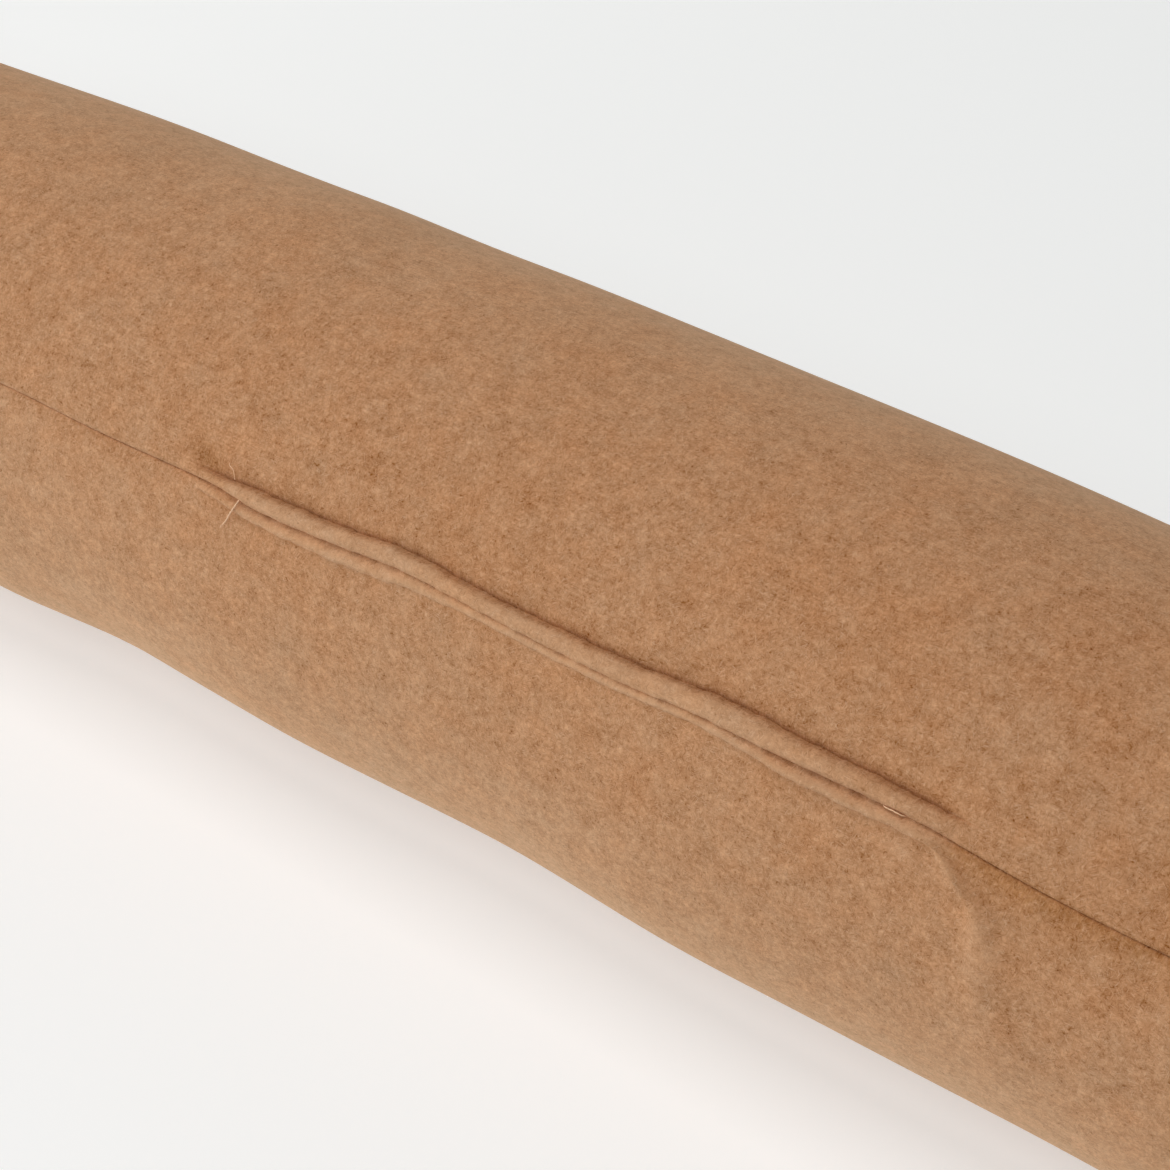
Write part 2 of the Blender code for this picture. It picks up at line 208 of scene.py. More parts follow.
# Painted shade where the panel rolls down into its sewn rim, fading over a share of the radius
PANEL_SHADE = 0.6
PANEL_SHADE_REACH = 0.02     # share of the radius
PANEL_PATTERN_SHIFT = 0.2    # so that a panel doesn't repeat the tube's pattern
GATHER_PLACE = 0.006         # how far from the end seam they are fullest
GATHER_LENGTH = 0.010
GATHERS = table(
    "count size start",
    (13, 0.00022, 0.4), (22, 0.00026, 2.1), (35, 0.00026, 4.4), (47, 0.00018, 1.3))
GATHER_START = 0.002         # how far from the end seam they begin
STRIP_MARGIN = 0.012         # how far from the flat strip the cloth moves freely

# Simulation of the filled cloth, on a coarse copy of it
FILL_STEP = 0.009
FILL_END_STEP = 0.0035
FILL_END_ZONE = 0.080
FILL_COLUMNS = 96
FILL_FRAMES = 20
FILL_SETTINGS = {
    "mass": 0.001, "tension_stiffness": 40.0, "compression_stiffness": 40.0,
    "shear_stiffness": 10.0, "bending_stiffness": 0.5,
    "use_pressure": True, "uniform_pressure_force": 4.0}
FILL_REACH = 0.0006          # furthest that a point may move
FILL_SEAM_FADE = 0.016       # distance over which the sewing holds the cloth beside the seam

# The tube's middle line along Y, and what is added to its radius
BODY_ROWS = table(
    "along bow swell",
    (-0.450, -0.0120, -0.0005),
    (-0.375, -0.0100, 0.0002),
    (-0.300, -0.0078, -0.0004),
    (-0.240, -0.0053, -0.0002),
    (-0.180, -0.0026, 0.0004),
    (-0.120, -0.0009, 0.0003),
    (-0.060, -0.0001, 0.0006),
    (0, 0, 0.0006),
    (0.060, -0.0003, 0.0006),
    (0.120, -0.0006, -0.0003),
    (0.180, -0.0009, -0.0008),
    (0.250, -0.0022, -0.0003),
    (0.320, -0.0045, 0.0004),
    (0.390, -0.0075, 0.0002),
    (0.450, -0.0105, -0.0005),
)

# The thread that closes the gap: its loose end over the lower lip, a stitch that shows, and a
# single fibre
THREAD_PATH = "share along distance height radius"
LOOSE_END = table(
    THREAD_PATH,
    (0, -0.0806, 0.0004, -0.0004, 0.00015),
    (0.10, -0.0809, -0.0003, 0.0007, 0.00017),
    (0.30, -0.0811, -0.0018, 0.0015, 0.00017),
    (0.55, -0.0820, -0.0038, 0.0013, 0.00017),
    (0.80, -0.0829, -0.0058, 0.0009, 0.00014),
    (1.00, -0.0837, -0.0074, 0.0012, 0.00006),
)
SHOWING_STITCH = table(
    THREAD_PATH,
    (0, 0.0731, 0.0019, -0.0007, 0.00010),
    (0.15, 0.0740, 0.0018, 0.0006, 0.00012),
    (0.50, 0.0759, 0.0019, 0.0010, 0.00012),
    (0.85, 0.0778, 0.0018, 0.0006, 0.00012),
    (1.00, 0.0787, 0.0019, -0.0007, 0.00010),
)
STRAY_FIBRE = table(
    THREAD_PATH,
    (0, -0.0872, 0.0055, -0.0004, 0.00005),
    (0.30, -0.0860, 0.0052, 0.0008, 0.00006),
    (0.60, -0.0845, 0.0047, 0.0012, 0.00006),
    (1.00, -0.0828, 0.0032, 0.0020, 0.00004),
)
THREAD_STEPS = 60
THREAD_COLUMNS = 15
PLIES = 3
PLY_DEPTH = 0.16
TWIST_LENGTH = 0.0011
THREAD_COLOUR = (0.90, 0.60, 0.38)
THREAD_SHADES = (0.82, 1.12)     # its darkest and palest, as shares of that colour
THREAD_SHADE_SIZE = 0.0006

# The nap: fine fibres that stand off the cloth
NAP_SEED = 11
OFF_FLOOR = (0.003, 0.006)   # heights over which it comes in above the floor
NAP_MIDDLE = 0.20            # half of the stretch where it is closest together
FUZZ_REACH = 0.0009          # distance from the seam line
FUZZ_STRETCH = 0.11
FUZZ_BEYOND = 0.15           # the share of fuzz beyond that stretch
WISP_LINE = -0.058           # Y of the line that the wisps follow, and their reach from it
WISP_REACH = 0.012
WISP_STRETCH = 0.09
WISPS_ELSEWHERE = 0.01
FIBRE_TAPER = 0.7
FIBRE_DROOP = 0.5
PILES = table(
    "name count segments length radius least_lift more_lift curl",
    ("wool_nap_middle", 18000, 2, (0.0005, 0.0015), (0.000022, 0.000040), 0.08, 0.9, 0.5),
    ("wool_nap_ends", 18000, 2, (0.0005, 0.0015), (0.000022, 0.000040), 0.08, 0.9, 0.5),
    ("wool_seam_fuzz", 12000, 2, (0.0004, 0.0013), (0.000018, 0.000036), 0.15, 0.9, 0.6),
    ("wool_wisps", 130, 9, (0.0020, 0.0048), (0.000025, 0.000045), 0.10, 0.6, 0.9),
)
NAP_DARK = (0.42, 0.20, 0.085)
NAP_PALE = (0.80, 0.53, 0.33)

# Unevenness of the hand sewing: shares of a lip's width, and heights of the groove
WAVE = "length size start"
UPPER_WAVES = table(WAVE, (0.0113, 0.020, 0.6), (0.0059, 0.017, 2.3), (0.0031, 0.014, 4.0))
LOWER_WAVES = table(WAVE, (0.0137, 0.032, 1.9), (0.0071, 0.028, 0.2), (0.0035, 0.021, 5.1))
GROOVE_WAVES = table(WAVE, (0.0083, 0.00022, 3.2), (0.0047, 0.00018, 1.1), (0.0026, 0.00015, 5.7))

# How far the long seam strays from its angle, the soft dip of the cloth below it, and the painted shade
# beside it
SEAM_ROWS = table(
    "along stray dip shade",
    (-0.450, 0, 0.0005, 0.20),
    (-0.375, 0.0011, 0.0005, 0.20),
    (-0.300, 0.0006, 0.0005, 0.20),
    (-0.230, -0.0007, 0.0005, 0.20),
    (-0.180, -0.0006, 0.0005, 0.15),
    (-0.150, -0.0001, 0.0005, 0.15),
    (-0.124, -0.0006, 0.0006, 0.15),
    (-0.094, -0.0002, 0.0008, 0.15),
    (-0.086, -0.0002, 0.0008, 0.15),
    (-0.079, -0.0010, 0.0008, 0.15),
    (-0.070, -0.0011, 0.0008, 0.15),
    (-0.055, -0.0003, 0.0008, 0.15),
    (-0.038, 0.0010, 0.0008, 0.15),
    (-0.024, 0.0008, 0.0008, 0.15),
    (-0.004, 0.0004, 0.0008, 0.15),
    (0.017, 0.0005, 0.0008, 0.15),
    (0.032, 0.0014, 0.0008, 0.20),
    (0.052, 0.0013, 0.0008, 0.30),
    (0.070, 0.0018, 0.0008, 0.40),
    (0.082, 0.0019, 0.0008, 0.70),
    (0.090, 0.0012, 0.0008, 1.10),
    (0.102, 0.0005, 0.0008, 1.40),
    (0.118, 0.0001, 0.0008, 1.20),
    (0.150, 0, 0.0008, 0.60),
    (0.200, -0.0008, 0.0006, 0.30),
    (0.270, 0.0003, 0.0006, 0.20),
    (0.350, 0.0009, 0.0006, 0.20),
    (0.450, -0.0003, 0.0006, 0.20),
)

# The two folded lips of the turning gap, the groove between them, and the cloth's height below them
# Each lip's pale column is partly its pressed cloth and partly a painted highlight
LIP_ROWS = table(
    "along upper_width upper_height lower_width lower_height groove lower_edge crease "
    "upper_pale lower_pale",
    (-0.112, 0.0007, 0, 0.0007, 0, -0.0012, 0, 0.0008, 0.9, 0.9),
    (-0.098, 0.0030, 0, 0.0020, 0, -0.0012, 0, 0.0008, 0.9, 0.9),
    (-0.094, 0.0024, 0.0006, 0.0023, 0.0004, -0.0008, 0, 0.0008, 0.9, 0.6),
    (-0.089, 0.0021, 0.0013, 0.0026, 0.0009, -0.0002, 0.0001, 0.0008, 0.8, 0.6),
    (-0.086, 0.0023, 0.0015, 0.0027, 0.0010, -0.0002, 0.0001, 0.0008, 0.85, 0.7),
    (-0.080, 0.0036, 0.0017, 0.0028, 0.0012, -0.0002, 0.0002, 0.0008, 1.05, 1.1),
    (-0.068, 0.0040, 0.0018, 0.0029, 0.0014, -0.0001, 0.0003, 0.0008, 1.05, 1.5),
    (-0.055, 0.0038, 0.0018, 0.0033, 0.0014, 0, 0.0004, 0.0008, 1.05, 1.5),
    (-0.043, 0.0040, 0.0019, 0.0034, 0.0014, 0.0002, 0.0005, 0.0008, 1.05, 1.5),
    (-0.034, 0.0038, 0.0019, 0.0027, 0.0014, 0.0006, 0.0007, 0.0008, 1.05, 1.6),
    (-0.018, 0.0034, 0.0018, 0.0018, 0.0013, 0.0009, 0.0008, 0.0008, 1.05, 1.75),
    (0, 0.0039, 0.0019, 0.0018, 0.0013, 0.0009, 0.0007, 0.0008, 1.05, 1.75),
    (0.017, 0.0041, 0.0019, 0.0018, 0.0013, 0.0008, 0.0007, 0.0008, 1.0, 1.75),
    (0.030, 0.0044, 0.0020, 0.0018, 0.0013, 0.0008, 0.0008, 0.0009, 1.0, 1.6),
    (0.043, 0.0049, 0.0021, 0.0021, 0.0014, 0.0005, 0.0006, 0.0010, 0.85, 1.5),
    (0.056, 0.0044, 0.0020, 0.0031, 0.0016, -0.0002, 0.0004, 0.0011, 0.7, 1.35),
    (0.072, 0.0040, 0.0018, 0.0032, 0.0016, -0.0002, 0.0003, 0.0011, 0.65, 1.3),
    (0.082, 0.0037, 0.0014, 0.0029, 0.0014, -0.0001, 0.0003, 0.0010, 0.65, 1.3),
    (0.089, 0.0045, 0.0006, 0.0028, 0.0008, -0.0006, 0.0002, 0.0008, 0.7, 1.2),
    (0.096, 0.0052, 0, 0.0026, 0, -0.0012, 0, 0.0008, 0.8, 1.0),
    (0.112, 0.0007, 0, 0.0007, 0, -0.0012, 0, 0.0008, 0.8, 0.8),
)

# Oval mounds and hollows, turned by an angle in degrees. The first is the dimple at the left end
# of the gap.
MOUNDS = table(
    "along across length width angle height",
    (-0.0914, 0.0041, 0.0056, 0.0026, -28, -0.0009),
    (-0.162, -0.058, 0.018, 0.022, 0, 0.0011),
    (-0.126, -0.058, 0.018, 0.022, 0, -0.0011),
    (-0.071, -0.058, 0.022, 0.022, 0, 0.0008),
    (-0.015, -0.058, 0.022, 0.022, 0, -0.0010),
    (0.034, -0.058, 0.022, 0.022, 0, 0.0008),
    (0.120, -0.058, 0.030, 0.022, 0, -0.0008),
    (0.142, 0.013, 0.027, 0.015, 0, -0.0030),
    (-0.150, 0.076, 0.020, 0.026, 0, -0.0005),
    (-0.110, 0.076, 0.016, 0.026, 0, 0.0005),
    (-0.080, 0.076, 0.018, 0.026, 0, -0.0007),
    (-0.250, 0.040, 0.040, 0.035, 17, 0.0009),
    (-0.340, -0.045, 0.045, 0.030, -11, 0.0008),
    (0.210, 0.030, 0.045, 0.035, 11, -0.0008),
    (0.300, -0.050, 0.040, 0.028, 6, 0.0010),
    (0.370, 0.050, 0.040, 0.035, -17, 0.0009),
    (-0.200, 0.150, 0.050, 0.030, 11, -0.0009),
    (0.020, 0.145, 0.050, 0.030, -11, 0.0010),
    (0.260, 0.150, 0.050, 0.030, 6, -0.0008),
)
DIMPLE = MOUNDS[0]

# The soft ridge that runs down from the lower lip's right end: its middle line and half width
# along X, for distances below the seam.
# Its pale column is a painted highlight along the ridge
RIDGE_ROWS = table(
    "distance middle width height pale",
    (-0.052, 0.1075, 0.0110, 0, 0.0),
    (-0.034, 0.1055, 0.0080, 0.0008, 0.3),
    (-0.018, 0.1012, 0.0038, 0.0014, 0.8),
    (-0.0085, 0.0968, 0.0023, 0.0018, 1.2),
    (-0.0056, 0.0925, 0.0018, 0.0018, 1.2),
    (-0.0028, 0.0885, 0.0016, 0.0016, 1.3),
    (-0.0011, 0.0858, 0.0019, 0.0009, 1.1),
    (-0.0003, 0.0825, 0.0030, 0.0003, 0.4),
    (0.0010, 0.0800, 0.0026, 0, 0.0),
)

# Sizes worked out from those above
CENTRE_HEIGHT = CORNER_RADIUS + math.sqrt((TUBE_RADIUS - CORNER_RADIUS) ** 2 - FLAT_HALF_WIDTH ** 2)
CORNER_TURN = math.atan2(CENTRE_HEIGHT - CORNER_RADIUS, FLAT_HALF_WIDTH)
BACK_ARC = TUBE_RADIUS * (math.pi - SEAM_ANGLE + CORNER_TURN)
CORNER_ARC = CORNER_RADIUS * (math.pi / 2 - CORNER_TURN)
STRIP_START = BACK_ARC + CORNER_ARC
STRIP_END = STRIP_START + 2 * FLAT_HALF_WIDTH
FRONT_ARC = TUBE_RADIUS * (SEAM_ANGLE + CORNER_TURN)
GIRTH = STRIP_END + CORNER_ARC + FRONT_ARC
END_SEAM_X = LENGTH / 2 - CROWN - CLOTH - GAP


def curve(places, values, along):
    """Values between given places, whose last axis follows the places.

    Between two places the curve is a cubic, whose slope at each place is that of the straight line
    between the places on either side.
    """
    index = np.arange(len(places))
    before = np.maximum(index - 1, 0)
    after = np.minimum(index + 1, len(places) - 1)
    slopes = (values[..., after] - values[..., before]) / (places[after] - places[before])
    along = np.clip(along, places[0], places[-1])
    left = np.clip(np.searchsorted(places, along, side="right") - 1, 0, len(places) - 2)
    span = places[left + 1] - places[left]
    share = (along - places[left]) / span
    rest = 1 - share
    return (values[..., left] * (1 + 2 * share) * rest ** 2
            + slopes[..., left] * span * share * rest ** 2
            + values[..., left + 1] * share ** 2 * (3 - 2 * share)
            - slopes[..., left + 1] * span * share ** 2 * rest)


def read_rows(rows, along):
    """Every column of a table, at given values of its first column, along smooth curves."""
    places = np.array([row[0] for row in rows])
    return type(rows[0])(*(curve(places, np.array(column), along) for column in zip(*rows)))


def smooth_step(value, low, high):
    """0 below low, 1 above high, and 3t^2 - 2t^3 between them."""
    share = np.clip((value - low) / (high - low), 0, 1)
    return share ** 2 * (3 - 2 * share)


def bell(offset, reach):
    """1 in the middle, and exp(-(offset / reach)^2) beside it."""
    return np.exp(-(offset / reach) ** 2)


def nearest_way(distance):
    """The distance round the tube counted the shorter way, so negative below the seam."""
    return (distance + GIRTH / 2) % GIRTH - GIRTH / 2


def section(distance):
    """Point and outward normal (y, z, normal y, normal z) of the plain section.

    It is a round arc from the seam over the top, a corner arc, the flat strip, a corner arc and
    the round arc again: centre + radius * (cos angle, sin angle), with the angle falling steadily.
    """
    distance = distance % GIRTH
    stretch = [distance < BACK_ARC, distance < STRIP_START, distance <= STRIP_END,
               distance < STRIP_END + CORNER_ARC]
    quarter = math.pi / 2
    angle = np.select(stretch, [
        math.pi - SEAM_ANGLE - distance / TUBE_RADIUS,
        -CORNER_TURN - (distance - BACK_ARC) / CORNER_RADIUS,
        -quarter,
        -quarter - (distance - STRIP_END) / CORNER_RADIUS,
    ], math.pi - SEAM_ANGLE + (GIRTH - distance) / TUBE_RADIUS)
    radius = np.select(stretch, [TUBE_RADIUS, CORNER_RADIUS, 0.0, CORNER_RADIUS], TUBE_RADIUS)
    centre_y = np.select(stretch, [
        0.0, FLAT_HALF_WIDTH, FLAT_HALF_WIDTH - (distance - STRIP_START), -FLAT_HALF_WIDTH], 0.0)
    centre_z = np.select(stretch, [CENTRE_HEIGHT, CORNER_RADIUS, 0.0, CORNER_RADIUS], CENTRE_HEIGHT)
    normal_y = np.cos(angle)
    normal_z = np.sin(angle)
    return centre_y + radius * normal_y, centre_z + radius * normal_z, normal_y, normal_z


def end_scale(along):
    """Share of the full section: 1, and at the ends a quarter of an ellipse down to the end seam."""
    start = END_SEAM_X - END_ROUNDING
    turn = np.arcsin(np.clip((np.abs(along) - start) / END_ROUNDING, 0, 1))
    return 1 - (1 - END_SEAM_SCALE) * (1 - np.cos(turn))


def sideways_middle():
    """Middle of the tube's width, which the model's frame has at y = 0."""
    along = np.linspace(-END_SEAM_X, END_SEAM_X, WIDTH_STATIONS)
    body = read_rows(BODY_ROWS, along)
    reach = (TUBE_RADIUS + body.swell) * end_scale(along)
    return (np.min(body.bow - reach) + np.max(body.bow + reach)) / 2


SIDEWAYS_MIDDLE = sideways_middle()


def place(along, distance, height, scale):
    """Points on the bowed tube: the section lifted by the height, swollen, drawn in and bowed.

    y = (section y + normal y * height) * swell * scale + bow, and z shrinks about the centre's
    height in the same way.
    """
    section_y, section_z, normal_y, normal_z = section(distance)
    body = read_rows(BODY_ROWS, along)
    swell = 1 + body.swell / TUBE_RADIUS
    across = (section_y + normal_y * height) * swell * scale
    up = CENTRE_HEIGHT + ((section_z + normal_z * height) * swell - CENTRE_HEIGHT) * scale
    across = across + body.bow - SIDEWAYS_MIDDLE
    return np.stack(np.broadcast_arrays(along, across, up), axis=-1)


def oval(mound, forward, upward):
    """1 in the middle of a mound, fading as exp(-(lengthwise)^2 - (crosswise)^2)."""
    cosine = math.cos(math.radians(mound.angle))
    sine = math.sin(math.radians(mound.angle))
    lengthwise = (forward * cosine + upward * sine) / mound.length
    crosswise = (upward * cosine - forward * sine) / mound.width
    return np.exp(-lengthwise ** 2 - crosswise ** 2)


def ridge(along, distance, column):
    """The ridge below the right end of the lips: a column * exp(-((along - middle) / width)^2)."""
    rows = read_rows(RIDGE_ROWS, distance)
    return getattr(rows, column) * bell(along - rows.middle, rows.width)


def mound_height(along, distance):
    """Sum of the oval mounds and the ridge, and nothing on the flat strip."""
    total = np.zeros(np.broadcast(along, distance).shape)
    around = nearest_way(distance)
    for mound in MOUNDS:
        upward = nearest_way(around - mound.across)
        total += mound.height * oval(mound, along - mound.along, upward)
    total += ridge(along, around, "height")
    on_strip = (distance % GIRTH >= STRIP_START) & (distance % GIRTH <= STRIP_END)
    return np.where(on_strip, 0.0, total)


def dimple_shade(along, distance):
    """Painted shade in the dimple at the left end of the gap: the mound's own oval, widened."""
    forward = (along - DIMPLE.along) / DIMPLE_SPREAD
    return SHADE_OF_DIMPLE * oval(DIMPLE, forward, (distance - DIMPLE.across) / DIMPLE_SPREAD)


def hollow(distance, sharp, soft):
    """Depth beside a line of stitches: sharp * exp(-d / sharp reach) + soft * exp(-d / soft reach)."""
    return sharp * np.exp(-distance / SHARP_REACH) + soft * np.exp(-distance / SOFT_REACH)


def lip(steps, width, height, outer_height, groove_height, rise, fall, lean):
    """Distances and heights of one folded lip, from the groove to its outer edge.

    With u from -1 at the groove to 1 at the outer edge, a bead (1 - |u|^n)^p stands on the
    straight line between the two edges: p is the rise on the groove's side, and the fall on the
    other. The columns lie closer at both sides, and the lean moves the crest outwards.
    """
    share = (1 - np.cos(np.pi * np.arange(1, steps + 1) / steps)) / 2
    across = 2 * share ** lean - 1
    power = np.where(across < 0, rise, fall)
    bead = np.maximum(1 - np.abs(across) ** LIP_ROUNDNESS, 0) ** power
    base = groove_height + (outer_height - groove_height) * share
    return width * share, base + (height - base) * bead


def uneven(along, waves):
    """A sum of sines along the tube, one for each wave's length, size and start."""
    return sum(wave.size * np.sin(2 * np.pi * along / wave.length + wave.start) for wave in waves)


def seam_columns(along):
    """Distances from the seam and heights, from below it to above it, one row for each place.

    Where the gap is open the lower lip, the groove and the upper lip stand between their outer
    hollows. Elsewhere one hollow dips to the stitches. The openness mixes the two. The shade, a
    painted shade, is 1 in the creases and fades away from them; it also darkens the groove, the
    cloth below the lower lip and beside the plain seam. The fold is 1 along the crests of the lips:
    their paler colour is partly the pressed cloth's and partly a painted highlight.
    """
    along = along[:, None]
    seam = read_rows(SEAM_ROWS, along)
    lips = read_rows(LIP_ROWS, along)
    upper_width, lower_width = np.maximum((lips.upper_width, lips.lower_width), NO_LIP_WIDTH)
    upper_height, lower_height = np.maximum((lips.upper_height, lips.lower_height), 0)
    groove = lips.groove + uneven(along, GROOVE_WAVES)
    openness = smooth_step(upper_height, 0, FULL_LIP_HEIGHT)
    upper_width = upper_width * (1 + openness * uneven(along, UPPER_WAVES))
    lower_width = lower_width * (1 + openness * uneven(along, LOWER_WAVES))
    roll = np.array(ROLL_DISTANCES)[None, :]
    upper = lip(UPPER_LIP_COLUMNS, upper_width, upper_height, -CREASE_SHARP - lips.crease, groove,
                UPPER_LIP_RISE, UPPER_LIP_FALL, 1.0)
    lower = lip(LOWER_LIP_COLUMNS, lower_width, lower_height, lips.lower_edge, groove,
                LOWER_LIP_RISE, LOWER_LIP_FALL, LOWER_LIP_LEAN)
    above = np.hstack((upper[0], upper_width + roll))
    below = np.hstack((lower[0], lower_width + roll))
    open_above = np.hstack((upper[1], -hollow(roll, CREASE_SHARP, lips.crease)))
    open_below = np.hstack((lower[1], lips.lower_edge * bell(roll, EDGE_REACH)))
    closed_above = -hollow(above, SEAM_SHARP, SEAM_SOFT)
    closed_below = -hollow(below, SEAM_SHARP, seam.dip)
    above_height = open_above * openness + closed_above * (1 - openness)
    below_height = open_below * openness + closed_below * (1 - openness)
    bottom = groove * openness - (SEAM_SHARP + seam.dip) * (1 - openness)
    distances = np.hstack((-below[:, ::-1], np.zeros_like(along), above))
    heights = np.hstack((below_height[:, ::-1], bottom, above_height))
    upper_pale = 1 - smooth_step(distances / upper_width, UPPER_PALE_SHARE, 1.0)
    lower_pale = bell(-distances / lower_width - LOWER_CREST, LOWER_CREST_REACH)
    fold = openness * np.where(
        distances < 0, lower_pale * lips.lower_pale, upper_pale * lips.upper_pale)
    above_crease = np.maximum(distances - upper_width, 0) / SHADE_REACH
    under_crease = np.maximum(upper_width - distances, 0) / (SHADE_ON_LIP * SHADE_REACH)
    shade_above = openness * np.exp(-above_crease - under_crease ** 2)
    shade_below = SHADE_BELOW * openness * bell(distances + lower_width, SHADE_REACH)
    in_groove = SHADE_IN_GROOVE * openness * np.exp(-np.abs(distances) / GROOVE_REACH)
    seam_reach = np.where(distances < 0, SHADE_UNDER_SEAM, SHADE_OVER_SEAM)
    at_seam = seam.shade * np.exp(-np.abs(distances) / seam_reach)
    shade = np.where(distances > 0, shade_above, shade_below) + (1 - openness) * at_seam
    return distances, heights, fold, np.maximum(shade, in_groove)


def steps_between(start, end, step):
    """Even steps from start up to, but not including, end."""
    count = max(1, round((end - start) / step))
    return start + (end - start) * np.arange(count) / count


def round_columns():
    """Distances away from the seam, with one on every change of arc."""
    changes = (SEAM_MARGIN, BACK_ARC, STRIP_START, STRIP_END, STRIP_END + CORNER_ARC,
               GIRTH - SEAM_MARGIN)
    parts = [steps_between(start, end, ROUND_STEP) for start, end in zip(changes, changes[1:])]
    return np.concatenate(parts + [np.array([changes[-1]])])


def stations():
    """Places along the tube, close together at the turning gap and at the ends."""
    straight_end = END_SEAM_X - END_ROUNDING
    turns = np.sin(np.linspace(0, np.pi / 2, ROUNDING_STATIONS))
    rounding = straight_end + END_ROUNDING * turns
    return np.concatenate((
        -rounding[:0:-1],
        steps_between(-straight_end, -GAP_ZONE, COARSE_STEP),
        steps_between(-GAP_ZONE, GAP_ZONE, FINE_STEP),
        steps_between(GAP_ZONE, straight_end, COARSE_STEP),
        rounding,
    ))


def make_mesh(name, points, faces, uv=None):
    """A smooth mesh object from arrays of points, quads or triangles, and a UV for each corner."""
    mesh = bpy.data.meshes.new(name)
    mesh.from_pydata(points, [], faces)
    if uv is not None:
        layer = mesh.uv_layers.new(name="cloth")
        layer.data.foreach_set("uv", np.asarray(uv, dtype=np.float32).ravel())
    mesh.shade_smooth()
    piece = bpy.data.objects.new(name, mesh)
    bpy.context.scene.collection.objects.link(piece)
    return piece


def off_strip(distance):
    """0 on the flat strip, and 1 beyond its margin."""
    from_middle = np.abs(distance % GIRTH - (STRIP_START + STRIP_END) / 2)
    return smooth_step(from_middle, FLAT_HALF_WIDTH, FLAT_HALF_WIDTH + STRIP_MARGIN)


def gathers(distance, side):
    """Height of the gathers round an end seam: a sum of sines of the distance round the tube.

    Each wave fits a whole number of times round, so the ring closes, and the flat strip has none.
    """
    total = np.zeros_like(distance)
    for gather in GATHERS:
        turn = 2 * np.pi * gather.count * distance / GIRTH
        total = total + gather.size * np.sin(turn + side * gather.start)
    return total * off_strip(distance)


def end_gathers(along, distance):
    """The gathers along the tube: exp(-((d - place) / length)^2), with d the way from the end seam."""
    from_end = END_SEAM_X - np.abs(along)
    fullness = bell(from_end - GATHER_PLACE, GATHER_LENGTH)
    return gathers(distance, np.sign(along)) * fullness * smooth_step(from_end, 0, GATHER_START)


def fill_cloth():
    """Heights the cloth takes as it is filled, simulated on a coarse copy, and their places.

    A closed copy of the plain tube, which starts with half the height of its gathers, is filled by
    pressure, frame by frame and without gravity. Its long seam, its end seams and its strip on the
    floor are held. A height is the part of a point's move that is along the section's normal, cut
    off at the furthest reach, then averaged as (before + 2 * own + after) / 4 along and round.
    """
    half = np.concatenate((
        steps_between(0, END_SEAM_X - FILL_END_ZONE, FILL_STEP),
        steps_between(END_SEAM_X - FILL_END_ZONE, END_SEAM_X, FILL_END_STEP),
        (END_SEAM_X,)))
    places = np.concatenate((-half[:0:-1], half))
    along = places[:, None]
    around = GIRTH * np.arange(FILL_COLUMNS) / FILL_COLUMNS
    distances = np.broadcast_to(around, (len(places), FILL_COLUMNS))
    start = place(along, distances, end_gathers(along, distances) / 2, end_scale(along))
    count = distances.size
    tips = (crown_tip(-1, 0.0), crown_tip(1, 0.0))
    copy = make_mesh("coarse_cloth", np.concatenate((start.reshape(-1, 3), tips)),
                     closed_faces(len(places), FILL_COLUMNS))
    on_strip = (distances >= STRIP_START) & (distances <= STRIP_END)
    at_ends = np.abs(along) > END_SEAM_X - GAP
    held = on_strip | (distances == 0) | at_ends
    group = copy.vertex_groups.new(name="held")
    group.add(np.flatnonzero(held).tolist() + [count, count + 1], 1.0, "REPLACE")
    modifier = copy.modifiers.new("filling", "CLOTH")
    modifier.point_cache.frame_start = 1
    modifier.point_cache.frame_end = FILL_FRAMES
    modifier.settings.vertex_group_mass = "held"
    modifier.settings.effector_weights.gravity = 0.0
    for name, value in FILL_SETTINGS.items():
        setattr(modifier.settings, name, value)
    for number in range(1, FILL_FRAMES + 1):
        bpy.context.scene.frame_set(number)
    filled = copy.evaluated_get(bpy.context.evaluated_depsgraph_get()).data
    ends = np.empty(3 * (count + 2), dtype=np.float32)
    filled.vertices.foreach_get("co", ends)
    bpy.context.scene.frame_set(1)
    bpy.data.meshes.remove(copy.data)
    moves = ends.reshape(-1, 3)[:count].reshape(start.shape) - start
    normal_y, normal_z = section(distances)[2:]
    heights = np.clip(moves[..., 1] * normal_y + moves[..., 2] * normal_z, -FILL_REACH, FILL_REACH)
    for axis in (0, 1):
        neighbours = np.roll(heights, 1, axis) + np.roll(heights, -1, axis)
        heights = (2 * heights + neighbours) / 4
    return places, heights


def filled_height(filling, along, distances):
    """The filled cloth's heights at given places, by a cubic along the tube and one round it.

    They fade to nothing at the seam as 1 - exp(-(distance / fade)^2), and on the flat strip.
    """
    places, heights = filling
    rows = curve(places, heights.T, along).T
    position = distances % GIRTH * FILL_COLUMNS / GIRTH
    index = position.astype(int)
    share = position - index
    before, left, right, after = (
        np.take_along_axis(rows, (index + step) % FILL_COLUMNS, 1) for step in (-1, 0, 1, 2))
    slope = (right - before) / 2
    next_slope = (after - left) / 2
    rise = right - left
    between = left + share * (slope + share * (
        3 * rise - 2 * slope - next_slope + share * (slope + next_slope - 2 * rise)))
    off_seam = 1 - bell(nearest_way(distances), FILL_SEAM_FADE)
    return between * off_strip(distances) * off_seam


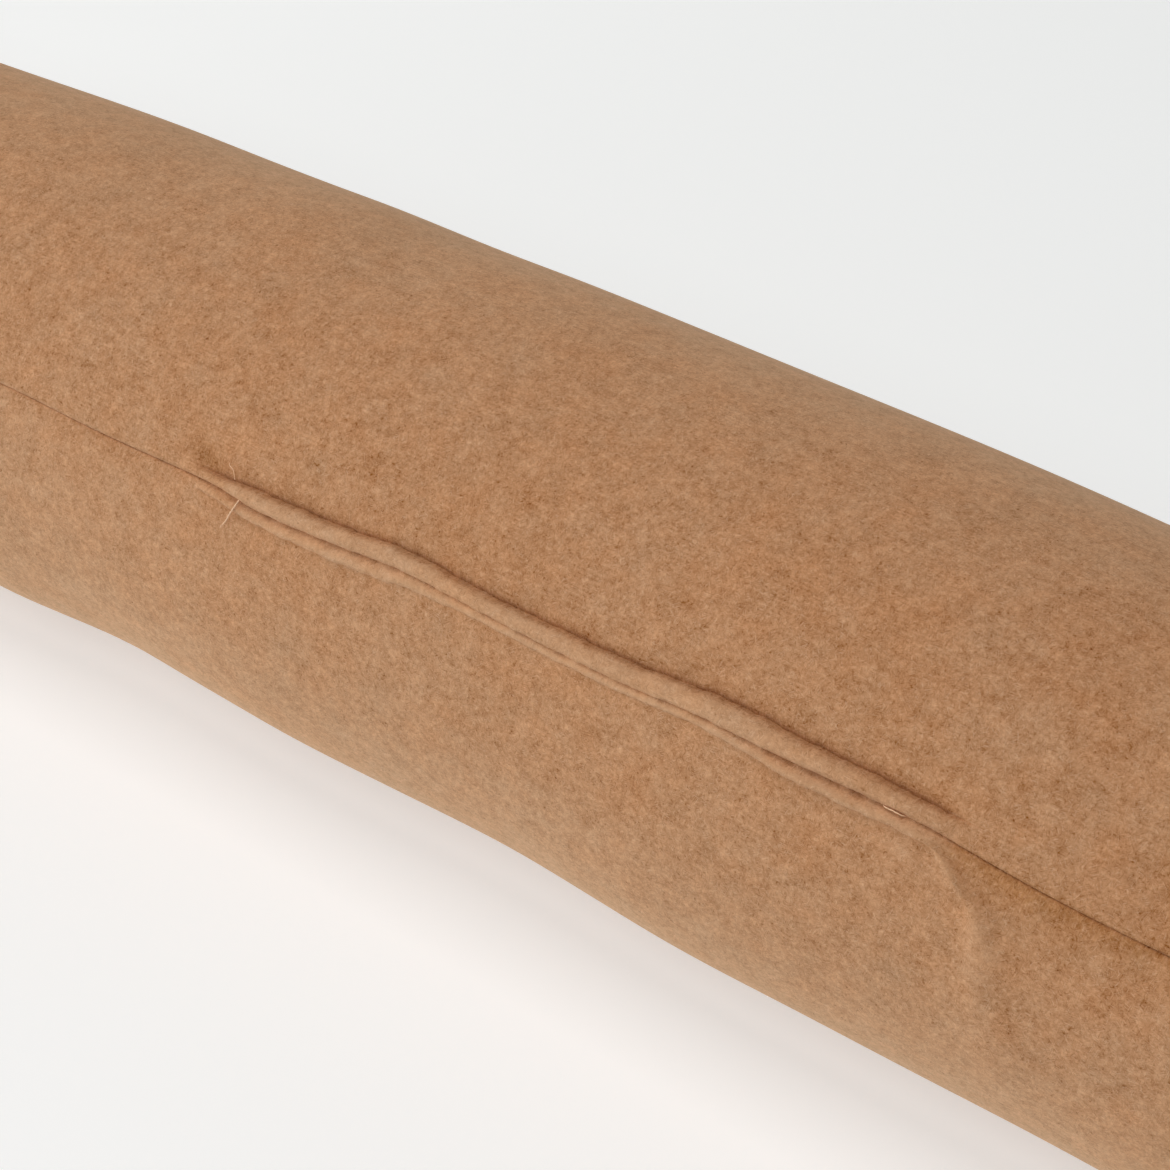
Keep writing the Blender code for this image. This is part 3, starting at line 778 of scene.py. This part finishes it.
def tube_grid(filling):
    """Points of the tube's cloth (stations, columns, 3), their place on it, folds and shades."""
    along = stations()
    offsets, heights, fold, shade = seam_columns(along)
    stray = read_rows(SEAM_ROWS, along).stray[:, None]
    others = np.broadcast_to(round_columns(), (len(along), round_columns().size))
    distances = np.hstack((offsets + stray, others))
    heights, fold, shade = (
        np.hstack((part, np.zeros_like(others))) for part in (heights, fold, shade))
    places = along[:, None]
    shade = np.maximum(shade, dimple_shade(places, distances))
    # A painted highlight along the ridge below the lips' right end, carried by the fold
    fold = np.maximum(fold, PAINTED_RIDGE_HIGHLIGHT * ridge(places, distances, "pale"))
    heights = heights + mound_height(places, distances) + end_gathers(places, distances)
    heights = heights + filled_height(filling, along, distances)
    return along, distances, place(places, distances, heights, end_scale(places)), fold, shade


def ring_faces(rings, columns, inside_out=False):
    """Quads between closed rings that follow each other along X, facing outwards."""
    ring = np.arange(rings - 1)[:, None]
    column = np.arange(columns)[None, :]
    following = (column + 1) % columns
    quads = np.stack(np.broadcast_arrays(
        ring * columns + column, (ring + 1) * columns + column,
        (ring + 1) * columns + following, ring * columns + following), axis=-1).reshape(-1, 4)
    return quads[:, ::-1] if inside_out else quads


def fan_faces(columns, first, tip, inside_out=False):
    """Triangles from a closed ring to its tip beyond the last ring."""
    column = np.arange(columns)
    following = (column + 1) % columns
    fan = np.stack((first + column, np.full(columns, tip), first + following), axis=-1)
    return fan[:, ::-1] if inside_out else fan


def closed_faces(rings, columns, inside_out=False, first=0):
    """Faces of closed rings and of the two tips beyond them, whose points follow the rings'."""
    count = rings * columns
    groups = (ring_faces(rings, columns, inside_out),
              fan_faces(columns, 0, count, not inside_out),
              fan_faces(columns, count - columns, count + 1, inside_out))
    faces = []
    for group in groups:
        faces += (group + first).tolist()
    return faces


def crown_rings(side, distances, scales, offset):
    """Rings on a crowned end: the end section shrunk, and pushed out by crown * (1 - scale^2)."""
    scales = scales[:, None]
    out = side * (END_SEAM_X + offset + CROWN * (1 - scales ** 2))
    flat = place(np.full_like(distances, side * END_SEAM_X), distances, 0.0, END_SEAM_SCALE * scales)
    flat[..., 0] = out
    return flat


def crown_tip(side, offset):
    """The middle of a crowned end."""
    return crown_rings(side, np.zeros((1, 1)), np.zeros(1), offset)[0, 0]


def add_attributes(piece, **values):
    """Numbers for the points of a mesh, which its material reads by name."""
    for name, array in values.items():
        attribute = piece.data.attributes.new(name, "FLOAT", "POINT")
        attribute.data.foreach_set("value", np.asarray(array, dtype=np.float32).ravel())


def build_tube(along, distances, points, fold, shade):
    """The filled tube: its cloth in rings, closed at both ends by a plain crown behind the panel.

    The cloth's UV map is its flat pattern in metres: along the tube, and round it from the seam.
    """
    columns = distances.shape[1]
    left = crown_rings(-1, distances[:1], CAP_SCALES[::-1], 0.0)
    right = crown_rings(1, distances[-1:], CAP_SCALES, 0.0)
    rows = np.concatenate((left, points, right))
    tips = (crown_tip(-1, 0.0), crown_tip(1, 0.0))
    around = np.where(distances < 0, distances + GIRTH, distances)
    seam = int(np.argmin(np.abs(distances[0] - read_rows(SEAM_ROWS, along[:1]).stray)))
    rounds = np.concatenate((np.repeat(around[:1], len(CAP_SCALES), 0), around,
                             np.repeat(around[-1:], len(CAP_SCALES), 0)))
    after = np.roll(rounds, -1, axis=1)
    after[:, seam - 1] = GIRTH
    places = np.broadcast_to(rows[:, :, 0] + LENGTH / 2, rounds.shape)
    corners = (
        (places[:-1], rounds[:-1]),
        (places[1:], rounds[1:]),
        (np.roll(places, -1, 1)[1:], after[1:]),
        (np.roll(places, -1, 1)[:-1], after[:-1]),
    )
    uv = np.stack([np.stack(corner, axis=-1) for corner in corners], axis=2).reshape(-1, 2)
    uv = np.concatenate((uv, np.zeros((6 * columns, 2))))
    piece = make_mesh("wool_tube", np.concatenate((rows.reshape(-1, 3), tips)),
                      closed_faces(len(rows), columns), uv)
    hidden = len(CAP_SCALES) * columns
    add_attributes(piece, fold=np.pad(fold.ravel(), (hidden, hidden + 2)),
                   shade=np.pad(shade.ravel(), (hidden, hidden + 2)))
    return piece


def panel_profile():
    """Shares of the radius and of the cloth's thickness, from the middle of the outside to its
    rim and back along the inside.

    The outside is full until it rolls down to the rim as a quarter of an ellipse.
    """
    turns = np.linspace(0, np.pi / 2, PANEL_ROLL_RINGS)
    roll_scales = PANEL_ROLL_START + (1 - PANEL_ROLL_START) * np.sin(turns)
    inner = np.linspace(PANEL_ROLL_START / PANEL_RINGS, PANEL_ROLL_START, PANEL_RINGS)
    scales = np.concatenate((inner[:-1], roll_scales, CAP_SCALES))
    thickness = np.concatenate((
        np.ones(PANEL_RINGS - 1), np.cos(turns), np.zeros(len(CAP_SCALES))))
    return scales, thickness


def build_panel(name, side):
    """A round end panel: crowned cloth, rolled down and gathered at its sewn rim.

    Its UV map is the panel laid flat, in metres.
    """
    scales, thickness = panel_profile()
    columns = PANEL_COLUMNS
    around = np.arange(columns) * GIRTH / columns
    distances = np.broadcast_to(around[None, :], (len(scales), columns))
    points = crown_rings(side, distances, scales, GAP)
    tuck = np.exp(-(1 - scales[:, None]) / PANEL_TUCK_REACH) * thickness[:, None]
    uneven_cloth = PANEL_UNEVENNESS * (np.sin(PANEL_WAVES * distances / TUBE_RADIUS + side)
                                       * scales[:, None] ** 2 * (1 - scales[:, None]))
    lift = CLOTH * thickness[:, None] + np.minimum(gathers(distances, -side) * tuck, 0)
    points[..., 0] += side * (lift - np.abs(uneven_cloth) * thickness[:, None])
    tips = (crown_tip(side, GAP + CLOTH), crown_tip(side, GAP))
    points = np.concatenate((points.reshape(-1, 3), tips))
    faces = closed_faces(len(scales), columns, side > 0)
    flat = points[:, 1:] + PANEL_PATTERN_SHIFT
    piece = make_mesh(name, points, faces, flat[np.concatenate(faces)])
    # Painted shade in the valley at the panel's sewn rim
    valley = PANEL_SHADE * np.exp(-(1 - scales) / PANEL_SHADE_REACH)
    shade = np.concatenate((np.repeat(valley, columns), np.zeros(2)))
    add_attributes(piece, fold=np.zeros(len(points)), shade=shade)
    return piece


def thread_part(rows, first):
    """One thread along the path through a table's points: a twisted section, closed at both ends.

    Round the path the radius is R * (1 + PLY_DEPTH * cos(PLIES * turn + 2 pi * length / TWIST_LENGTH)).
    """
    share = np.linspace(0, 1, THREAD_STEPS)
    along, distance, height, radius = read_rows(rows, share)[1:]
    path = place(along, distance, height, 1.0)
    forward = np.gradient(path, axis=0)
    forward /= np.linalg.norm(forward, axis=1, keepdims=True)
    normal_y, normal_z = section(distance)[2:]
    sideways = np.cross(np.stack((np.zeros(THREAD_STEPS), normal_y, normal_z), axis=-1), forward)
    sideways /= np.linalg.norm(sideways, axis=1, keepdims=True)
    outward = np.cross(forward, sideways)
    steps = np.linalg.norm(np.diff(path, axis=0), axis=1)
    length = np.concatenate(([0.0], np.cumsum(steps)))[:, None]
    turn = 2 * np.pi * np.arange(THREAD_COLUMNS)[None, :] / THREAD_COLUMNS
    bulge = 1 + PLY_DEPTH * np.cos(PLIES * turn + 2 * np.pi * length / TWIST_LENGTH)
    ring = (radius[:, None] * bulge)[..., None]
    points = path[:, None] + ring * (np.cos(turn)[..., None] * sideways[:, None]
                                     + np.sin(turn)[..., None] * outward[:, None])
    tips = path[[0, -1]] + forward[[0, -1]] * radius[[0, -1], None] * [[-1], [1]]
    faces = closed_faces(THREAD_STEPS, THREAD_COLUMNS, True, first)
    return np.concatenate((points.reshape(-1, 3), tips)), faces


def build_threads():
    """The sewing thread that shows, in one piece."""
    points = np.zeros((0, 3))
    faces = []
    for rows in (LOOSE_END, SHOWING_STITCH, STRAY_FIBRE):
        more_points, more_faces = thread_part(rows, len(points))
        points = np.concatenate((points, more_points))
        faces += more_faces
    return make_mesh("gap_thread", points, faces)


def scatter(points, weights, count, rng):
    """Random places on the cloth's grid: points and outward normals, evenly by area and weight."""
    across = np.roll(points, -1, axis=1)
    first = across[1:] - points[:-1]
    second = across[:-1] - points[1:]
    normals = np.cross(second, first)
    area = np.linalg.norm(normals, axis=-1)
    normals = normals / np.maximum(area, 1e-15)[..., None]
    total = np.cumsum((area * weights).ravel())
    chosen = np.searchsorted(total, rng.random(count) * total[-1])
    ring, column = np.unravel_index(chosen, area.shape)
    following = (column + 1) % points.shape[1]
    one, other = rng.random((2, count, 1))
    roots = ((points[ring, column] * (1 - one) + points[ring + 1, column] * one) * (1 - other)
             + (points[ring, following] * (1 - one) + points[ring + 1, following] * one) * other)
    return roots, normals[ring, column]


def build_fibres(name, roots, outward, sizes, segments, rng):
    """Fine fibres as three-sided prisms that taper to a point, each with its own random tone.

    From its root a fibre runs length * (t * lying + lift * t * (1 - droop * t) * outward
    + curl * t^2 * sideways), and its radius falls as 1 - taper * t.
    """
    count = len(roots)
    length, radius, lift, curl = (size[:, None, None] for size in sizes)
    heading = rng.random(count) * 2 * np.pi
    lengthwise = np.cross((0.0, 0.0, 1.0), outward) + (1e-6, 0.0, 0.0)
    lengthwise = lengthwise / np.linalg.norm(lengthwise, axis=1, keepdims=True)
    upward = np.cross(outward, lengthwise)
    lying = np.cos(heading)[:, None] * lengthwise + np.sin(heading)[:, None] * upward
    sideways = np.cross(outward, lying)
    share = np.linspace(0, 1, segments + 1)[None, :, None]
    path = roots[:, None] + length * (
        share * lying[:, None] + lift * share * (1 - FIBRE_DROOP * share) * outward[:, None]
        + curl * share ** 2 * sideways[:, None])
    turn = 2 * np.pi * np.arange(3)[:, None] / 3
    rim = np.cos(turn) * sideways[:, None] + np.sin(turn) * outward[:, None]
    thick = (radius * (1 - FIBRE_TAPER * share))[:, :-1, :, None]
    body = (path[:, :-1, None] + thick * rim[:, None]).reshape(count, -1, 3)
    points = np.concatenate((body, path[:, -1:]), axis=1)
    first = np.arange(count)[:, None, None] * (3 * segments + 1)
    quads = (ring_faces(segments, 3, True) + first).reshape(-1, 4)
    tips = (fan_faces(3, 3 * segments - 3, 3 * segments, True) + first).reshape(-1, 3)
    bases = (np.array([[0, 2, 1]]) + first).reshape(-1, 3)
    piece = make_mesh(name, points.reshape(-1, 3),
                      quads.tolist() + tips.tolist() + bases.tolist())
    add_attributes(piece, tone=np.repeat(rng.random(count), 3 * segments + 1))
    return piece


def build_nap(distances, points, shade):
    """Short fibres of the brushed wool, fuzz along the seam and the lips' edges, and longer wisps.

    The short ones are closer together on the middle of the tube, the fuzz follows the shade and
    the seam line, and none grow where the tube rests on the floor. How far a fibre lifts is its
    least lift plus the rest times the square of a random number.
    """
    rng = np.random.default_rng(NAP_SEED)
    middle = (points[:-1] + points[1:]) / 2
    off_floor = smooth_step(middle[..., 2], *OFF_FLOOR)
    near = np.exp(-(middle[..., 0] / NAP_MIDDLE) ** 4)
    from_seam = distances - read_rows(SEAM_ROWS, points[:, :1, 0]).stray
    edges = bell(from_seam, FUZZ_REACH) + shade
    edges = (edges[:-1] + edges[1:]) * (
        FUZZ_BEYOND + np.exp(-(middle[..., 0] / FUZZ_STRETCH) ** 4))
    seam = np.exp(-((middle[..., 1] - WISP_LINE) / WISP_REACH) ** 2
                  - (middle[..., 0] / WISP_STRETCH) ** 4)
    weights = (off_floor * near, off_floor * (1 - near), off_floor * edges,
               off_floor * (WISPS_ELSEWHERE + seam) * near)
    pieces = []
    for pile, weight in zip(PILES, weights):
        roots, outward = scatter(points, weight, pile.count, rng)
        sizes = (rng.uniform(*pile.length, pile.count), rng.uniform(*pile.radius, pile.count),
                 pile.least_lift + pile.more_lift * rng.random(pile.count) ** 2,
                 rng.uniform(-pile.curl, pile.curl, pile.count))
        pieces.append(build_fibres(pile.name, roots, outward, sizes, pile.segments, rng))
    return pieces


def new_material(name, constants):
    """A material, its node tree and its Principled shader, whose constants are set directly."""
    material = bpy.data.materials.new(name)
    material.use_nodes = True
    shader = material.node_tree.nodes["Principled BSDF"]
    for title, value in constants.items():
        shader.inputs[title].default_value = value
    return material, material.node_tree, shader


def build_room():
    """A plain pale floor."""
    half = FLOOR_HALF_SIZE
    corners = ((-half, -half, 0), (half, -half, 0), (half, half, 0), (-half, half, 0))
    floor = make_mesh("floor", corners, ((0, 1, 2, 3),))
    floor.data.materials.append(new_material("pale_floor", FLOOR_SURFACE)[0])


def node(tree, kind, inputs=None, **settings):
    """A node with its settings; each input is a plain value, or the output that feeds it."""
    made = tree.nodes.new(kind)
    for name, value in settings.items():
        setattr(made, name, value)
    for key, value in (inputs or {}).items():
        if isinstance(value, bpy.types.NodeSocket):
            tree.links.new(value, made.inputs[key])
        else:
            made.inputs[key].default_value = value
    return made


def maths(tree, operation, first, second=0.0):
    """The output of a Math node."""
    return node(tree, "ShaderNodeMath", {0: first, 1: second}, operation=operation).outputs[0]


def times(tree, first, second):
    """The product of two values."""
    return maths(tree, "MULTIPLY", first, second)


def add_shares(tree, total, *pairs):
    """The total plus the product of each pair."""
    for first, second in pairs:
        total = maths(tree, "ADD", total, times(tree, first, second))
    return total


def mix(tree, share, first, second, blend="MIX", clamp=True):
    """The output of a colour Mix node; a colour is three numbers, or the output that feeds it."""
    first, second = (
        (*colour, 1) if isinstance(colour, tuple) else colour for colour in (first, second))
    return node(tree, "ShaderNodeMix", {0: share, 6: first, 7: second},
                data_type="RGBA", blend_type=blend, clamp_factor=clamp).outputs[2]


def noise(tree, vector, feature, detail=0.0, roughness=0.5, dimensions="3D"):
    """Noise from -1 to 1 whose largest features are about one feature length apart."""
    made = node(tree, "ShaderNodeTexNoise", {
        "Vector": vector, "Scale": 1 / feature, "Detail": detail, "Roughness": roughness,
        "Distortion": 0.0}, noise_dimensions=dimensions)
    return times(tree, maths(tree, "SUBTRACT", made.outputs[0], 0.5), 2.0)


def stretch(tree, vector, turn, size):
    """The vector turned by radians in the cloth's plane, then measured in lengths and widths."""
    turned = node(tree, "ShaderNodeVectorRotate", {
        "Vector": vector, "Angle": turn}, rotation_type="Z_AXIS").outputs[0]
    return node(tree, "ShaderNodeVectorMath", {
        0: turned, 1: (1 / size[0], 1 / size[1], 0.0)}, operation="MULTIPLY").outputs[0]


def ramp(tree, value, start, end):
    """0 before the start and 1 past the end, on whichever side of it that lies, with a smooth step."""
    return node(tree, "ShaderNodeMapRange", {
        "Value": value, "From Min": start, "From Max": end},
        interpolation_type="SMOOTHSTEP").outputs[0]


def shader_group(name, inputs, outputs):
    """A new node group, with its input node and its output node."""
    tree = bpy.data.node_groups.new(name, "ShaderNodeTree")
    for title, kind in inputs.items():
        tree.interface.new_socket(title, in_out="INPUT", socket_type="NodeSocket" + kind)
    for title in outputs:
        tree.interface.new_socket(title, in_out="OUTPUT", socket_type="NodeSocketFloat")
    return tree, tree.nodes.new("NodeGroupInput").outputs, tree.nodes.new("NodeGroupOutput").inputs


def mottle_group():
    """Uneven colour of felted wool: the tone of its tufts, the warmth of its patches, dark specks.

    The tone adds noise from 4 mm down to a quarter of a millimetre, more of it about 1 mm, grains
    of half a millimetre, and slow clouds. A speck is a peak of fine noise, where a gap between
    fibres shows; they crowd where the tufts are dark.
    """
    tree, given, result = shader_group(
        "wool_mottle", {"Place": "Vector"}, ("Tone", "Warmth", "Specks"))
    tufts, knots, grains, clouds, patches, pits = (
        noise(tree, given["Place"], *kind) for kind in (TUFTS, KNOTS, GRAINS, CLOUDS, PATCHES, PITS))
    tone = add_shares(tree, tufts, (knots, SHARE_OF_KNOTS), (grains, SHARE_OF_GRAINS),
                      (clouds, SHARE_OF_CLOUDS))
    tree.links.new(tone, result["Tone"])
    warmth = add_shares(tree, patches, (clouds, COOLNESS_OF_CLOUDS))
    tree.links.new(warmth, result["Warmth"])
    pits = add_shares(tree, pits, (tufts, CROWDING_OF_SPECKS))
    tree.links.new(ramp(tree, pits, *SPECK_RANGE), result["Specks"])
    return tree


def fibre_group():
    """Fibres that lie on the cloth in one direction, and the dark gaps beside them.

    Both are thin streaks of one stretched noise: its peaks are fibres and its valleys gaps.
    """
    tree, given, result = shader_group(
        "lying_fibres", {"Cloth": "Vector", "Turn": "Float", "Bend": "Vector"}, ("Fibre", "Gap"))
    bent = node(tree, "ShaderNodeVectorMath", {
        0: given["Cloth"], 1: given["Bend"]}, operation="ADD").outputs[0]
    streaks = noise(tree, stretch(tree, bent, given["Turn"], FIBRE_SIZE), 1.0, dimensions="2D")
    tree.links.new(ramp(tree, streaks, *FIBRE_RANGE), result["Fibre"])
    tree.links.new(ramp(tree, streaks, *GAP_RANGE), result["Gap"])
    return tree


def rib_group():
    """Faint ribs of the weave under the nap, 0.9 mm apart round the tube.

    A sine of the distance round the tube, bent by slow noise, and only in patches where the nap
    is thin.
    """
    tree, given, result = shader_group("weave_ribs", {"Cloth": "Vector"}, ("Rib",))
    cloth = given["Cloth"]
    around = node(tree, "ShaderNodeSeparateXYZ", {0: cloth}).outputs[1]
    wander = noise(tree, stretch(tree, cloth, 0.0, WANDER_SIZE), 1.0, dimensions="2D")
    phase = add_shares(tree, times(tree, around, 2 * math.pi / RIB_SPACING), (wander, RIB_WANDER))
    bare = ramp(tree, noise(tree, cloth, BARE_SIZE, dimensions="2D"), *BARE_RANGE)
    bare = times(tree, bare, ramp(tree, around, *RIB_REACH))
    wave = times(tree, maths(tree, "SINE", phase), bare)
    tree.links.new(wave, result["Rib"])
    return tree


def fibre_layers(tree, cloth, group):
    """How much fibres and gaps show: the most of any layer, each turned its own way.

    A slow noise shifts the cloth's map, so that the fibres bend.
    """
    bend = node(tree, "ShaderNodeVectorMath", {
        0: noise(tree, cloth, FIBRE_BEND_SIZE, dimensions="2D"), 1: (FIBRE_BEND, FIBRE_BEND, 0.0)},
        operation="MULTIPLY").outputs[0]
    fibres = 0.0
    gaps = 0.0
    for turn in FIBRE_TURNS:
        layer = node(tree, "ShaderNodeGroup", {
            "Cloth": cloth, "Bend": bend, "Turn": math.radians(turn)}, node_tree=group).outputs
        fibres = maths(tree, "MAXIMUM", layer["Fibre"], fibres)
        gaps = maths(tree, "MAXIMUM", layer["Gap"], gaps)
    return fibres, gaps


def wool_material(name, groups):
    """Camel wool, felted and brushed: mottled tufts, specks, lying fibres, ribs and creases.

    The tone adds the unevenness, which the folds smooth, the paler folds, partly the pressed
    cloth's colour and partly a painted highlight on their crests, and the painted shade of the
    creases; fibres of cream lie over it. Patches are tinted warm or cool, folds cool, and the
    painted shade warms the creases by the square of the shade. A painted sheen of the nap, a paler
    colour, grows with the square of how far the cloth turns from the eye, and is gone on the
    pressed folds and in the painted shade of the creases.
    """
    material, tree, shader = new_material(name, WOOL_SURFACE)
    place_at = node(tree, "ShaderNodeTexCoord").outputs["Object"]
    cloth = node(tree, "ShaderNodeUVMap", uv_map="cloth").outputs[0]
    mottle = node(tree, "ShaderNodeGroup", {"Place": place_at}, node_tree=groups["mottle"]).outputs
    ribs = node(tree, "ShaderNodeGroup", {"Cloth": cloth}, node_tree=groups["ribs"]).outputs
    fibres, gaps = fibre_layers(tree, cloth, groups["fibres"])
    fold = node(tree, "ShaderNodeAttribute", attribute_name="fold").outputs["Fac"]
    shade = node(tree, "ShaderNodeAttribute", attribute_name="shade").outputs["Fac"]
    combed = noise(tree, stretch(tree, cloth, math.pi / 2, COMBED_SIZE), 1.0, dimensions="2D")
    shade = times(tree, shade, maths(tree, "ADD", times(tree, combed, SHADE_UNEVENNESS), 1.0))
    smooth = maths(tree, "SUBTRACT", 1.0, times(tree, fold, SMOOTHNESS_OF_FOLDS))
    unevenness = add_shares(
        tree, times(tree, mottle["Tone"], TONE_OF_TUFTS), (mottle["Specks"], -TONE_OF_SPECKS),
        (gaps, -TONE_OF_FIBRE_GAPS), (ribs["Rib"], TONE_OF_RIBS))
    tone = add_shares(
        tree, times(tree, unevenness, smooth), (fold, TONE_OF_FOLDS_AND_HIGHLIGHTS), (shade, -TONE_OF_CREASE_SHADE))
    tone = maths(tree, "ADD", tone, MIDDLE_TONE)
    colour = mix(tree, tone, WOOL_DARK, WOOL_PALE, clamp=False)
    colour = mix(tree, times(tree, fibres, SHARE_OF_FIBRES), colour, FIBRE_CREAM)
    warmth = maths(tree, "ADD", mottle["Warmth"], 0.5)
    tint = mix(tree, warmth, COOL_TINT, WARM_TINT, clamp=False)
    colour = mix(tree, 1.0, colour, tint, "MULTIPLY")
    colour = mix(tree, fold, colour, FOLD_TINT, "MULTIPLY", clamp=False)
    # Painted shade: the creases darken and warm by the square of the shade
    deep_shade = maths(tree, "MINIMUM", times(tree, shade, shade), 1.0)
    colour = mix(tree, deep_shade, colour, CREASE_SHADE_TINT, "MULTIPLY", clamp=False)
    # Painted sheen of the nap, kept off the pressed folds and the painted shade of the creases
    facing = node(tree, "ShaderNodeLayerWeight", {"Blend": 0.5}).outputs["Facing"]
    painted_sheen = times(tree, maths(tree, "POWER", facing, 2.0), SHARE_OF_PAINTED_SHEEN)
    sheen_kept = ramp(tree, maths(tree, "MAXIMUM", fold, shade), SHEEN_GONE_AT, 0.0)
    colour = mix(tree, times(tree, painted_sheen, sheen_kept), colour, PAINTED_SHEEN_COLOUR)
    tree.links.new(colour, shader.inputs["Base Color"])
    height = times(tree, add_shares(tree, mottle["Tone"], (fibres, FIBRE_RISE)), smooth)
    bump = node(tree, "ShaderNodeBump", {
        "Strength": BUMP_STRENGTH, "Distance": BUMP_DEPTH, "Height": height})
    tree.links.new(bump.outputs[0], shader.inputs["Normal"])
    return material


def fibre_material():
    """Single wool fibres, each its own tone between camel and cream."""
    material, tree, shader = new_material("wool_fibre", FIBRE_SURFACE)
    tone = node(tree, "ShaderNodeAttribute", attribute_name="tone").outputs["Fac"]
    tree.links.new(mix(tree, tone, NAP_DARK, NAP_PALE), shader.inputs["Base Color"])
    return material


def thread_material():
    """Undyed cotton sewing thread, a little uneven in tone."""
    material, tree, shader = new_material("cotton_thread", THREAD_SURFACE)
    place_at = node(tree, "ShaderNodeTexCoord").outputs["Object"]
    uneven_tone = maths(tree, "ADD", noise(tree, place_at, THREAD_SHADE_SIZE, 2.0), 0.5)
    shades = [tuple(shade * part for part in THREAD_COLOUR) for shade in THREAD_SHADES]
    tree.links.new(mix(tree, uneven_tone, *shades), shader.inputs["Base Color"])
    return material


def stand(name, data, azimuth, elevation, distance, middle):
    """A camera or a light at a distance from a point that it faces.

    The azimuth goes from the front to the right, and the elevation upwards, both in degrees.
    """
    azimuth = math.radians(azimuth)
    elevation = math.radians(elevation)
    back = np.array((math.sin(azimuth) * math.cos(elevation),
                     -math.cos(azimuth) * math.cos(elevation), math.sin(elevation)))
    right = np.array((math.cos(azimuth), math.sin(azimuth), 0))
    turn = Matrix(np.stack((right, np.cross(back, right), back), axis=1).tolist())
    place_at = np.array(middle) + distance * back
    standing = bpy.data.objects.new(name, data)
    bpy.context.scene.collection.objects.link(standing)
    standing.matrix_world = Matrix.Translation(place_at.tolist()) @ turn.to_4x4()
    return standing


def add_camera():
    """The photograph's view: from the front right, looking down."""
    data = bpy.data.cameras.new("camera")
    data.sensor_width = 36
    data.lens = data.sensor_width / 2 / math.tan(math.radians(VIEW_ANGLE / 2))
    bpy.context.scene.camera = stand(
        "camera", data, VIEW_AZIMUTH, VIEW_ELEVATION, VIEW_DISTANCE, VIEW_MIDDLE)


def add_light():
    """A low wide window at the far left, soft lights in front, above and behind, and dim surroundings.

    All are rectangles that face the middle of what the camera sees.
    """
    world = bpy.data.worlds.new("surroundings")
    bpy.context.scene.world = world
    world.use_nodes = True
    background = world.node_tree.nodes["Background"]
    background.inputs["Color"].default_value = (1.0, 1.0, 1.0, 1)
    background.inputs["Strength"].default_value = SURROUNDINGS
    for light in LIGHTS:
        data = bpy.data.lights.new(light.name, "AREA")
        data.shape = "RECTANGLE"
        data.size, data.size_y = LIGHT_SIZE
        data.energy = light.power
        data.color = light.colour
        stand(light.name, data, light.azimuth, light.elevation, LIGHT_DISTANCE, LIGHT_MIDDLE)


add_camera()
add_light()
build_room()
wool = wool_material("felted_wool", {
    "mottle": mottle_group(), "fibres": fibre_group(), "ribs": rib_group()})
cloth = tube_grid(fill_cloth())
tube = build_tube(*cloth)
tube.data.materials.append(wool)
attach(tube, "root")
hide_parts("tube")
for side, name in ((-1, "left"), (1, "right")):
    panel = build_panel("wool_end_" + name, side)
    panel.data.materials.append(wool)
    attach(panel, "root")
    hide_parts("end_panel_" + name)
fibre = fibre_material()
for piece in build_nap(cloth[1], cloth[2], cloth[4]):
    piece.data.materials.append(fibre)
    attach(piece, "root")
threads = build_threads()
threads.data.materials.append(thread_material())
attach(threads, "root")
bpy.context.scene.view_settings.view_transform = "Standard"
